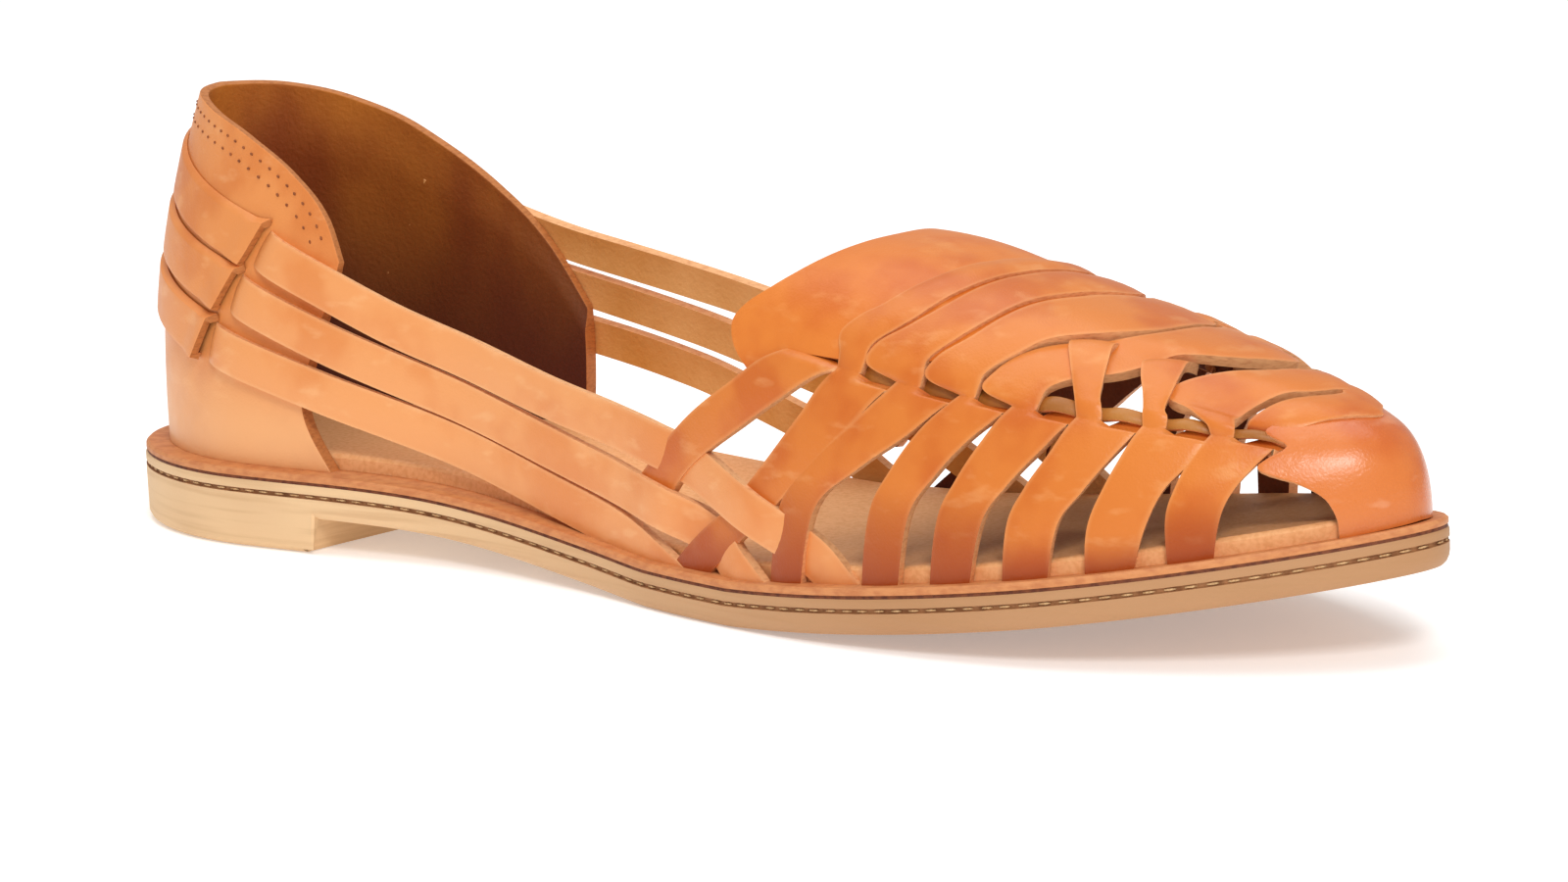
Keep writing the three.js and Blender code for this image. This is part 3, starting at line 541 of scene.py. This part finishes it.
# Side straps of the forefoot: rows of girth, left x, right x and lift, up from the sole to the slot
SIDE_STRAPS = [
    ((7, 121.5, 130.5, -0.6), (14, 128.5, 137, -0.3), (22, 136.5, 146.5, 0.0), (30, 145, 155.5, 0.5),
     (36, 150.6, 161.4, 0.9), (40.2, 154.8, 165.4, 0.9)),
    ((-2, 131, 140, 0), (5, 140, 149, 0), (11, 147.5, 156, 0), (19.5, 154.5, 163.5, 0),
     (29, 160.2, 170, 0), (36, 163.2, 173.6, 0.1), (40.8, 165.7, 176.2, 0.1)),
    ((-2, 155.5, 161.8, 0), (12.6, 158, 165, 0), (21, 163.5, 172.5, 0), (29.5, 170, 180, 0),
     (37, 174.4, 184.6, 0.1), (41.6, 176.6, 187.2, 0.1)),
    ((-2, 174, 180.6, 0), (13.5, 175.5, 182.6, 0), (22, 178.5, 186.3, 0), (32, 182.5, 191, 0),
     (38, 185.4, 194.1, 0.1), (42.6, 187.6, 196.0, 0.1)),
    ((-2, 186.3, 193.0, 0), (13.5, 187.6, 195.2, 0), (22, 190, 198.5, 0), (32, 193, 202.5, 0),
     (38.5, 194.8, 204.6, 0.1), (43.2, 196.3, 206, 0.1)),
    ((-2, 198.5, 205.5, 0), (13, 199.2, 207, 0), (21.5, 201.2, 209.8, 0), (31, 203.8, 212.5, 0),
     (39, 205.3, 214.5, 0.1), (44.2, 206.3, 215.5, 0.1)),
    ((-2, 211, 217.6, 0), (12, 211.2, 219.2, 0), (23.5, 212.8, 221, 0), (32, 214.0, 223.2, 0),
     (40, 215.0, 224.4, 0.1), (45.2, 215.7, 224.8, 0.1)),
    ((-2, 222.2, 228.0, 0), (14.5, 221.7, 228.8, 0), (24.5, 222.4, 230, 0), (34.5, 223.4, 231.8, 0),
     (41, 224.3, 233.0, 0.1), (46.4, 225.0, 233.8, 0.1)),
]

# Share of each strap's width, from the left, that passes its slot as a bridge over the braid
BRIDGE = (0.0, 0.42, 0.4, 0.31, 0.4, 0.4, 0.36, 0.35)

# How each strap goes on past its slot: rows of left x, left girth, right x, right girth and lift
BANDS = {
    1: [(165.6, 44, 170.5, 44, 0.5), (164.8, 48.5, 171.0, 48.3, 0.7), (167.2, 54.5, 174.3, 55.2, 0.75),
        (170.2, 60.5, 176.4, 61, 0.75), (174.0, 74.5, 179.4, 75, 0.75), (176.0, 88, 181.0, 88, 0.75),
        (177.7, 98, 182.4, 98, 0.75), (177.8, 106, 182.4, 106, 0.7)],
    2: [(171.0, 43.4, 181.0, 45.2, 0.6), (171.7, 48.8, 181.0, 49.3, 0.75), (175.5, 56, 184.0, 57.7, 0.8),
        (179.0, 66, 186.5, 67, 0.8), (181.0, 78, 188.6, 80, 0.8), (182.2, 88.5, 190.4, 88.8, 0.8),
        (183.6, 98, 192.4, 96, 0.8), (183.9, 106, 192.8, 105, 0.7)],
    3: [(181.6, 44.4, 190.4, 46.2, 0.6), (182.2, 50.2, 190.8, 50.2, 0.8), (185.7, 59, 194.0, 59.2, 0.8),
        (188.0, 69, 196.8, 67.4, 0.85), (190.0, 80, 202.6, 77.6, 0.85), (192.2, 89.5, 206.4, 87, 0.85),
        (194.2, 98, 207.2, 97, 0.8), (194.3, 106, 206.4, 106, 0.7)],
    4: [(191.0, 45.6, 200.3, 47.2, 0.3), (191.6, 51.4, 200.7, 51.3, 0.3), (194.0, 59.6, 203.4, 56.6, 0.2),
        (197.6, 68.4, 207.8, 63.4, -0.3), (201.4, 75.2, 210.4, 72.0, -0.6), (205.4, 81.0, 213.2, 79.0, 0.5),
        (207.4, 87.5, 218.6, 86.5, 0.8), (208.2, 96, 222.6, 95, 0.8), (207.6, 106, 222.0, 106, 0.7)],
    7: [(224.2, 49.6, 228.1, 50.0, 0.9), (221.0, 54.5, 227.4, 54.2, 0.7), (216.6, 59, 227.4, 58.0, 0.0),
        (216.9, 66.5, 228.4, 66, 0.1), (221.0, 78.0, 230.4, 77, 0.7), (224.6, 88, 232.8, 85.5, 0.8),
        (226.4, 97, 234.0, 95, 0.8), (226.6, 106, 234.2, 105, 0.7)],
}

# Straps that end under a band, on either side
CROSS = {
    5: [(205.8, 47.6, 209.6, 48.2, 0.85), (204.9, 51, 208.8, 51.5, 0.9), (203.4, 56, 207.9, 57.4, 0.9),
        (201.4, 62, 206.6, 65, 0.9), (199.3, 68.5, 205.0, 73.2, 0.8), (198.6, 74, 204.0, 79.5, -1.2)],
    6: [(215.4, 48.8, 218.9, 49.2, 0.85), (215.0, 51.6, 218.0, 52.4, 0.9), (213.8, 57, 217.4, 61, 0.9),
        (211.8, 64, 216.4, 70, 0.8), (210.4, 70, 215.6, 76.2, 0.7), (209.0, 76, 214.6, 83, -1.2)],
}

# Last band, from over the braid on one side to the other
TOE_BAND = [(228.6, 53.4, 231.3, 52.2, -0.7), (229.0, 57.5, 235.2, 58, 0.2), (231.0, 70, 238.8, 71, 0.7),
            (233.6, 83, 241.2, 83, 0.7), (234.8, 92, 242.2, 92, 0.7)]

# Braid: station, girth of its middle and lift, woven under the bridges and over the slots
BRAID = [
    (147, 41.8, -1.7), (156, 42.2, -1.6), (162, 42.6, -1.4), (168, 42.9, -1.7), (173, 43.2, -1.1),
    (178.4, 43.6, -1.7), (184, 44.1, -1.1), (188.8, 44.8, -1.8), (193, 45.2, -1.1), (198.2, 46.2, -1.3),
    (202.4, 47.2, -0.2), (207.8, 47.9, -1.2), (212.2, 48.4, -0.2), (217.2, 49.0, -1.2),
    (221.4, 49.5, -0.2), (226.4, 50.2, -1.0), (230.4, 50.8, -0.2), (234.6, 51.6, -0.9), (238, 52.2, -1.6),
]
BRAID_HALF = 2.4

# Where the bands turn over the ridge, and how far the turn is pushed forward to round it
TURN_START = 117
TURN_END = 137
TURN_PUSH = 3.8

# First strap's end in its slot
FIRST_END = [(154.6, 39.6, 165.2, 39.6, 0.8), (156.4, 42.4, 166.0, 42.4, -0.9)]

# Strap's tucked end behind its slot: shift of the left edge, of the right one and of girth, and drop
TUCK = [(0.2, -0.3, -1.6, 1.0), (0.2, -0.3, 0.6, 1.75), (1.2, 0.4, 3.2, 1.95), (2.6, 1.6, 6.6, 2.0)]

# How deep a strap curls into its slot, and the grid of a strap
CURL = 1.7
NOTCH_COLUMN = 4
STRAP_COLUMNS = 10
ROW_STEPS = 8
NOTCH = NOTCH_COLUMN / STRAP_COLUMNS


def mirrored(row):
    return (row[0], 180 - row[1], row[2], 180 - row[3], row[4])


def over_the_foot(rows):
    """Rows of a band with its other half, down the outer side, with a round turn over the ridge."""
    way = list(rows)
    for row in reversed(rows):
        left_x, left_g, right_x, right_g, lift = mirrored(row)
        if min(left_g, right_g) > TURN_START:
            push = TURN_PUSH * max(0.0, (TURN_END - left_g) / (TURN_END - TURN_START))
            way.append((left_x + push, left_g, right_x + push, right_g, lift))
    return way


def strap_rows(number):
    return [(left, girth, right, girth, lift) for girth, left, right, lift in SIDE_STRAPS[number]]


def add_slotted(bm, number, band, side, both_sides):
    """Adds a side strap whose left part goes on past its slot; the rest curls down into the slot.

    With both_sides the band comes down to the same strap on the other side.
    """
    strap = strap_rows(number)
    bridge = BRIDGE[number]
    left_x, left_g, right_x, right_g, lift = strap[-1]
    start = (left_x, left_g, mix(left_x, right_x, bridge), mix(left_g, right_g, bridge), lift)
    first = len(strap) - 1
    way = [start] + (over_the_foot(band) + [mirrored(start)] if both_sides else band)
    last = first + len(way) - 1
    whole = last + (first if both_sides else 0)
    on_strap = read_rows(strap)
    on_band = read_rows(way)

    def at(along, over):
        place = along * whole
        if place > first + 0.01 and (place < last - 0.01 or not both_sides):
            row = on_band((place - first) / (last - first))
            share = min(1.0, over / NOTCH)
            drop = 0.0
        else:
            far = both_sides and place > whole / 2
            here = (whole - place if far else place) / first
            row = on_strap(here)
            row = mirrored(row) if far else row
            share = over / NOTCH * bridge if over <= NOTCH else mix(bridge, 1, (over - NOTCH) / (1 - NOTCH))
            drop = CURL * smooth(1 - 0.45 / first, 1, here) * smooth(NOTCH, NOTCH + 0.1, over)
        return last_point(mix(row[0], row[2], share), girth_on(side, mix(row[1], row[3], share)),
                          row[4] - drop - CROWN * (2 * share - 1) ** 2)
    made = add_sheet(bm, whole * ROW_STEPS, STRAP_COLUMNS, at)
    uv = bm.loops.layers.uv.active
    spare = []
    for face in faces_of(made):
        shares = [loop[uv].uv for loop in face.loops]
        place = sum(share.x for share in shares) / len(shares) * whole
        over = sum(share.y for share in shares) / len(shares)
        if first < place < last:
            if over > NOTCH:
                spare.append(face)
            for loop in face.loops:
                loop[uv].uv.y = min(1.0, loop[uv].uv.y / NOTCH)
    bmesh.ops.delete(bm, geom=spare, context="FACES")
    face_out(bm, faces_of([v for v in made if v.is_valid]), from_middle)
    notch_x = mix(left_x, right_x, bridge)
    tuck = [(notch_x + left, left_g + up, right_x + right, left_g + up, lift - drop)
            for left, right, up, drop in TUCK]
    for where in (side, -side) if both_sides else (side,):
        add_strip(bm, tuck, where, 10, 5, 0.1)


def strap_piece(name, bm, skin=STRAP, thick=LEATHER):
    return walled(finish_piece(name, bm, [skin, SHADED_UNDERSIDE, EDGE], "upper"), thick)


def woven_straps():
    """Straps that run over the foot from the sole on one side to the sole on the other."""
    bm = bmesh.new()
    for number, band in BANDS.items():
        add_slotted(bm, number, band, -1, True)
    return strap_piece("woven_straps", bm)


def short_straps(side, name):
    """First strap, which ends in its slot, and the two cross straps that end under a band."""
    bm = bmesh.new()
    add_strip(bm, strap_rows(0)[:-1] + FIRST_END, side, 48, 8)
    for number, band in CROSS.items():
        add_slotted(bm, number, band, side, False)
    return strap_piece(name, bm)


def toe_band():
    """Band next to the toe cap, over the foot."""
    bm = bmesh.new()
    add_strip(bm, TOE_BAND + [mirrored(row) for row in reversed(TOE_BAND[:-1])], -1, 80, 8)
    return strap_piece("toe_band", bm)


def braid(side, name):
    """Narrow strip that runs lengthwise through the slots."""
    bm = bmesh.new()
    rows = [(x, girth - BRAID_HALF, x, girth + BRAID_HALF, lift) for x, girth, lift in BRAID]
    add_strip(bm, rows, side, 200, 4, 0.25)
    return strap_piece(name, bm, BRAID_SKIN, BRAID_THICK)


# Tongue: girth, back edge, front end under the bands
TONGUE = {
    "girth": (34, 36.5, 39, 41, 42.6, 46, 52, 60, 74, 90,
              106, 120, 128, 134, 137.4, 139, 141, 143.5, 146),
    "back": (148.6, 145.4, 144.0, 143.6, 143.8, 145.2, 148.4, 151.8, 155.4, 157.4,
             155.4, 151.8, 148.4, 145.2, 143.8, 143.6, 144.0, 145.4, 148.6),
    "front": (151, 153, 155, 158, 166, 176, 184, 190, 196, 200,
              196, 190, 184, 176, 166, 158, 155, 153, 151),
}


def tongue():
    """Flap under the bands; its free back edge is rolled down."""
    back = curve(TONGUE["girth"], TONGUE["back"])
    front = curve(TONGUE["girth"], TONGUE["front"])
    bm = bmesh.new()

    def at(along, over):
        girth = mix(TONGUE["girth"][0], TONGUE["girth"][-1], over)
        x = mix(back(girth), front(girth), along)
        rolled = 2.2 * max(0.0, 1 - along / 0.42) ** 2 * smooth(40, 80, min(girth, 180 - girth))
        return last_point(x, girth, -0.15 - rolled)
    add_sheet(bm, 30, 112, at)
    return walled(finish_piece("tongue", bm, [VAMP, SHADED_UNDERSIDE, CUP_EDGE], "upper"), LEATHER)


# Toe cap: girth and back edge
TOE_CAP = {
    "girth": (0, 8, 14, 20, 25, 28.5, 31, 33.5, 38, 44, 47.5, 51, 58, 74, 90),
    "back": (242.8, 242.6, 242.0, 241.0, 239.2, 237.0, 234.2, 232.5,
             233.1, 234.8, 234.9, 232.0, 232.5, 235.0, 236.5),
}


def toe_cap():
    """Cap over the toe, closed to a point at the tip."""
    back = curve(TOE_CAP["girth"], TOE_CAP["back"])
    bm = bmesh.new()

    def at(along, over):
        girth = mix(-1, 181, over)
        start = back(girth if girth < 90 else 180 - girth)
        x = mix(start, LENGTH - UPPER_INSET, 1 - (1 - along) ** 2)
        return last_point(x, girth, 0.0)
    add_sheet(bm, 40, 130, at)
    bmesh.ops.remove_doubles(bm, verts=bm.verts, dist=0.001)
    return strap_piece("toe_cap", bm, TOE_SKIN)


# Arch straps on each side: rows of station, height and lift
ARCH_INNER = [
    [(39.5, 48.0, -0.9), (44.5, 46.1, 1.6), (56, 41.8, 1.7), (70, 36.4, 1.2), (84, 32.4, 0.3),
     (100, 28.8, 0), (116, 26.4, 0), (128, 24.6, 0), (137, 22.4, -0.9), (151, 17.8, 1.1),
     (163, 12.4, -1.0), (169, 8.0, -0.9), (175, 2.0, -0.9)],
    [(34.5, 40.6, -0.9), (39.5, 38.8, 1.6), (53, 34.2, 1.7), (69, 29.2, 1.2), (84, 25.0, 0.3),
     (100, 21.2, 0), (119, 17.4, 0), (130, 15.6, 1.0), (141, 12.6, -1.0), (149, 8.0, 0.6), (157, 1.5, 0.8)],
    [(29, 32.2, -0.9), (34, 30.8, 1.6), (51, 26.4, 1.7), (69, 21.8, 1.2), (84, 17.9, 0.3), (100, 14.0, 0),
     (119, 10.0, 0.2), (128, 7.0, 0.3), (140, 1.5, 0.3)],
]
ARCH_OUTER = [
    [(39.5, 51.4, -0.9), (44.5, 50.1, 1.6), (66, 44.6, 1.7), (80, 42.0, 1.2), (91, 40.0, 0.6),
     (105, 37.2, 0), (120, 33.4, 0), (134, 28.6, -0.9), (150, 21.8, 0.9), (163, 14.4, -1.0),
     (170, 9.0, -0.9), (178, 2.0, -0.9)],
    [(34.5, 43.2, -0.9), (39.5, 42.1, 1.6), (70, 36.7, 1.7), (91, 32.6, 0.6), (105, 29.0, 0),
     (120, 24.4, 0), (130, 20.4, 0.9), (142, 14.4, -1.0), (150, 9.0, 0.6), (160, 1.5, 0.8)],
    [(29, 34.6, -0.9), (34, 33.9, 1.6), (70, 29.2, 1.7), (91, 25.2, 0.6), (104, 21.0, 0), (118, 15.2, 0),
     (128, 8.5, 0), (140, 1.5, 0)],
]


def arch_straps(side, name, tables, width):
    """Straps from the slots in the cup down to the sole at the arch."""
    bm = bmesh.new()
    for rows in tables:
        add_ribbon(bm, rows, width, side)
    return walled(finish_piece(name, bm, [ARCH, INNER_STRAP, EDGE], "upper"), LEATHER)


def top_height(share):
    return CUP_TOP[-1 if share < 0 else 1](abs(share))


def counter_shell():
    """Cup round the heel: its wall thins towards the top line, where its edge is rounded."""
    bm = bmesh.new()
    weights = bm.verts.layers.deform.verify()

    def at(along, over):
        share = mix(-1, 1, along)
        foot = sole_line(mix(cup_back(0), CUP_FRONT[-1](0), abs(share))) + UPPER_BASE - 0.4
        return wrap_point(share, mix(foot, top_height(share), over))
    made = add_sheet(bm, 160, 50, at)
    uv = bm.loops.layers.uv.active
    for v in made:
        over = v.link_loops[0][uv].uv.y
        v[weights][0] = mix(1.0, 0.6, smooth(0.8, 1, over))
    face_back(bm, list(bm.faces))
    piece = finish_piece("counter_shell", bm, [COUNTER, INNER_CUP, CUP_EDGE], "heel_counter")
    piece.vertex_groups.new(name="wall")
    return walled(piece, CUP_THICK, 0.55, "wall")


# Heel bands: height at the inner slot, back and outer slot, the slots' shares, how far each stands out
HEEL_BANDS = [(47.9, 60.5, 51.3, 0.79, 0.69, 0.85), (40.4, 50.6, 43.1, 0.745, 0.637, 1.1),
              (32.2, 41.0, 34.6, 0.695, 0.575, 1.35)]
HEEL_BAND_WIDTH = 8.2
HEEL_BAND_FALL = 1.3
SLANT = 0.05


def heel_bands():
    """Bands raised in the cup from slot to slot, slanted at their ends and swollen over the strap."""
    bm = bmesh.new()
    for inner, back, outer, inner_slot, outer_slot, proud in HEEL_BANDS:
        def at(along, over):
            lean = SLANT * (over - 0.3)
            turn = mix(-inner_slot - lean, outer_slot + lean, along)
            reach = min(1.0, -turn / inner_slot if turn < 0 else turn / outer_slot)
            middle = mix(back, inner if turn < 0 else outer, reach ** HEEL_BAND_FALL)
            z = middle + HEEL_BAND_WIDTH * (over - 0.5)
            swell = proud + 0.8 * (smooth(0.94, 1, along) + smooth(0.06, 0, along))
            edge = smooth(0.86, 1, abs(2 * over - 1))
            return wrap_point(turn, z, swell * (1 - 0.75 * edge))
        face_back(bm, faces_of(add_sheet(bm, 120, 14, at)))
    piece = finish_piece("heel_bands", bm, [COUNTER, INNER_CUP, CUP_EDGE], "heel_counter")
    return walled(piece, HEEL_BAND_THICK)


def spaced(path, spacing, count=600):
    """Points at even spacing along path(share), each with its direction."""
    points = [path(i / count) for i in range(count + 1)]
    walked = 0.0
    found = []
    for here, ahead in zip(points, points[1:]):
        walked += (ahead - here).length
        if walked >= spacing:
            walked -= spacing
            found.append((ahead, (ahead - here).normalized()))
    return found


def add_bead(bm, place, along, outward, size):
    """Small rounded stitch or hole: size is its length, width and height."""
    across = outward.cross(along).normalized()
    axes = Matrix((along * size[0], across * size[1], outward * size[2])).transposed().to_4x4()
    bmesh.ops.create_icosphere(bm, subdivisions=1, radius=0.5, matrix=Matrix.Translation(place) @ axes)


def cup_outward(share, z):
    """Outward direction of the cup's wall."""
    up = wrap_point(share, z + 0.3) - wrap_point(share, z - 0.3)
    round_way = wrap_point(share + 0.004, z) - wrap_point(share - 0.004, z)
    return round_way.cross(up).normalized()


# Stitches: rows of holes under the cup's top line with their spacing, and the sizes of a hole and a stitch
HOLE_ROWS = ((2.0, 2.3), (4.3, 2.6))
HOLE_SIZE = (0.75, 0.5, 0.5)
STITCH_SPACING = 3.1
STITCH_SIZE = (2.2, 0.42, 0.5)


def cup_stitches():
    """Two rows of small stitch holes under the cup's top line, all the way round, as beads in painted
    shade.
    """
    bm = bmesh.new()
    for offset, spacing in HOLE_ROWS:
        def path(share):
            turn = mix(-0.985, 0.985, share)
            ahead = wrap_point(turn + 0.004, top_height(turn + 0.004))
            behind = wrap_point(turn - 0.004, top_height(turn - 0.004))
            outward = cup_outward(turn, top_height(turn) - offset)
            down = (ahead - behind).cross(outward).normalized()
            down = down if down.z < 0 else -down
            return wrap_point(turn, top_height(turn)) + down * offset
        for place, along in spaced(path, spacing):
            outward = Vector((place.x - 45, place.y * 1.6, 0)).normalized()
            outward = (outward - along * outward.dot(along)).normalized()
            add_bead(bm, place, along, outward, HOLE_SIZE)
    return finish_piece("cup_stitches", bm, [HOLE], "heel_counter")


def plan_point(share, side, inset, z):
    """Point on the outline of the sole; inset is given at the heel and at the toe."""
    along = (1 - math.cos(math.pi * share)) / 2
    heel, toe = inset
    x = heel + (LENGTH - heel - toe) * along
    here = mix(heel, toe, smooth(WALL_BLEND_START, WALL_BLEND_END, x))
    half = (HALF[side](x) - here) * end_round(x, heel, toe)
    return Vector((x, side * half, z(x)))


def layer(name, steps, materials, node, stations, second=()):
    """Layer of the sole: steps go up its side, each with an inset and a height.

    The stretches of the side numbered in second take the second material.
    """
    bm = bmesh.new()
    ring = [(step, -1) for step in steps] + [(step, 1) for step in reversed(steps)]
    count = len(ring)

    def at(along, over):
        share = stations[min(len(stations) - 1, round(along * (len(stations) - 1)))]
        (inset, z), side = ring[round(over * count) % count]
        return plan_point(share, side, inset, z)
    add_sheet(bm, len(stations) - 1, count, at)
    uv = bm.loops.layers.uv.active
    for face in bm.faces:
        stretch = int(sum(loop[uv].uv.y for loop in face.loops) / len(face.loops) * count)
        if min(stretch, count - 2 - stretch) in second:
            face.material_index = 1
    bmesh.ops.remove_doubles(bm, verts=bm.verts, dist=0.0005)
    bmesh.ops.holes_fill(bm, edges=[e for e in bm.edges if e.is_boundary])
    bmesh.ops.recalc_face_normals(bm, faces=bm.faces)
    piece = finish_piece(name, bm, materials, node)
    edge = piece.modifiers.new("edge", "BEVEL")
    edge.width = 0.2 * MM
    edge.segments = 2
    edge.limit_method = "ANGLE"
    edge.angle_limit = math.radians(30)
    piece.modifiers.new("shade", "WEIGHTED_NORMAL")
    return piece


def over_sole(rise):
    """Height at a fixed rise over the sole's underside."""
    return lambda x: sole_line(x) + rise


def over_floor(rise):
    """The same, but over the floor under the heel."""
    return lambda x: rise if x < HEEL_BREAST + BREAST_SLOPE / 2 else sole_line(x) + rise


def share_at(x):
    """Share of the way along the outline at station x."""
    return math.acos(1 - 2 * x / LENGTH) / math.pi


# Shares of the way along the outline, evenly spread
EVEN = [i / 180 for i in range(181)]


def outsole():
    """Sole with its heel, a bevelled lower edge and a groove for the stitches, painted darker as its shade.
    """
    steps = [((1.1, 1.1), over_floor(0)), ((0.5, 0.5), over_floor(0.45)), ((0.12, 0.12), over_floor(1.2)),
             ((0, 0), over_sole(1.9)), ((0, 0), over_sole(3.25)), ((0.5, 0.5), over_sole(3.4)),
             ((0.5, 0.5), over_sole(3.85)), ((0, 0), over_sole(4.0)), ((0, 0), over_sole(5.0)),
             ((0.2, 0.2), over_sole(OUTSOLE_THICK))]
    stations = sorted(EVEN + [share_at(HEEL_BREAST), share_at(HEEL_BREAST + BREAST_SLOPE)])
    return layer("outsole_body", steps, [SOLE, SHADED_GROOVE], "outsole", stations, (4, 5, 6))


def dark_seam():
    """Thin dark seam between the sole and the ledge."""
    steps = [((0.32, 0.32), over_sole(5.2)), ((0.22, 0.22), over_sole(5.5)),
             ((0.32, 0.32), over_sole(5.95))]
    return layer("dark_seam", steps, [SEAM], "midsole", EVEN)


def midsole():
    """Ledge of leather that shows round the foot of the upper."""
    steps = [((0.45, 0.45), over_sole(5.8)), ((0.12, 0.12), over_sole(5.95)),
             ((0.15, 0.15), over_sole(6.6)), ((0.6, 0.6), over_sole(MIDSOLE_BASE + MIDSOLE_THICK))]
    return layer("ledge", steps, [LEDGE], "midsole", EVEN)


def insole():
    """Lining that the foot rests on."""
    heel = COUNTER_INSET + COUNTER_WALL - 0.2
    toe = UPPER_INSET + LEATHER + 0.4
    steps = [((heel, toe), over_sole(UPPER_BASE - 0.3)), ((heel, toe), over_sole(UPPER_BASE + 1.6)),
             ((heel + 0.3, toe + 0.3), over_sole(UPPER_BASE + 2.0)),
             ((heel + 0.9, toe + 0.9), over_sole(UPPER_BASE + INSOLE_THICK))]
    return layer("insole_lining", steps, [INSOLE], "insole", EVEN)


def sole_stitches():
    """Thread in the groove of the sole's side."""
    bm = bmesh.new()
    for side in (-1, 1):
        def path(share):
            return plan_point(mix(0.01, 0.99, share), side, (0.42, 0.42), over_sole(3.62))
        for place, along in spaced(path, STITCH_SPACING, 900):
            outward = Vector((along.y, -along.x, 0)).normalized()
            add_bead(bm, place, along, outward if side < 0 else -outward, STITCH_SIZE)
    return finish_piece("sole_stitches", bm, [THREAD], "outsole")


outsole()
dark_seam()
midsole()
insole()
sole_stitches()
counter_shell()
heel_bands()
cup_stitches()
arch_straps(-1, "arch_straps_inner", ARCH_INNER, 6.6)
arch_straps(1, "arch_straps_outer", ARCH_OUTER, 5.9)
woven_straps()
short_straps(-1, "short_straps_inner")
short_straps(1, "short_straps_outer")
toe_band()
braid(-1, "braid_inner")
braid(1, "braid_outer")
tongue()
toe_cap()

# Floor, light and camera
HEADING = math.radians(40.5)
ELEVATION = math.radians(10.3)
ROLL = math.radians(-2.0)
DISTANCE = 1.0
LENS = 150
LIGHTS = (("key_light", (0.72, -0.62, 0.72), 0.28, 5.6), ("top_light", (-0.15, 0.05, 1.3), 1.3, 11))
TARGET = (Vector((131.3, 0.0, 21.0)) - MIDDLE) * MM


def studio():
    """Pale floor, even white room, a small key light and a wide one overhead."""
    bm = bmesh.new()
    bmesh.ops.create_grid(bm, x_segments=1, y_segments=1, size=6.0)
    mesh = bpy.data.meshes.new("floor")
    bm.to_mesh(mesh)
    bm.free()
    floor = bpy.data.objects.new("floor", mesh)
    floor.location.z = -0.0002
    bpy.context.scene.collection.objects.link(floor)
    finish = Finish("pale_floor")
    glow = {"Emission_Color": (1, 1, 1, 1), "Emission_Strength": 0.27}
    mesh.materials.append(finish.surface((0.93, 0.93, 0.93, 1), 0.9, **glow))

    world = bpy.data.worlds.new("soft_room")
    bpy.context.scene.world = world
    world.use_nodes = True
    world.node_tree.nodes["Background"].inputs["Color"].default_value = (1, 1, 1, 1)
    world.node_tree.nodes["Background"].inputs["Strength"].default_value = 0.48

    for name, place, size, power in LIGHTS:
        light = bpy.data.lights.new(name, "AREA")
        light.size = size
        light.energy = power
        lamp = bpy.data.objects.new(name, light)
        lamp.location = place
        lamp.rotation_euler = (-Vector(place)).to_track_quat("-Z", "Y").to_euler()
        bpy.context.scene.collection.objects.link(lamp)


def camera():
    """Camera at the photograph's angle, slightly rolled."""
    flat = math.cos(ELEVATION)
    back = Vector((math.sin(HEADING) * flat, -math.cos(HEADING) * flat, math.sin(ELEVATION)))
    right = Vector((math.cos(HEADING), math.sin(HEADING), 0))
    up = right.cross(-back)
    rolled_right = right * math.cos(ROLL) + up * math.sin(ROLL)
    rolled_up = -right * math.sin(ROLL) + up * math.cos(ROLL)
    data = bpy.data.cameras.new("photo_camera")
    data.sensor_width = 36
    data.lens = LENS
    data.clip_start = 0.01
    eye = bpy.data.objects.new("photo_camera", data)
    turn = Matrix((rolled_right, rolled_up, back)).transposed().to_4x4()
    eye.matrix_world = Matrix.Translation(TARGET + back * DISTANCE) @ turn
    bpy.context.scene.collection.objects.link(eye)
    bpy.context.scene.camera = eye


studio()
camera()
bpy.context.scene.view_settings.view_transform = "Standard"
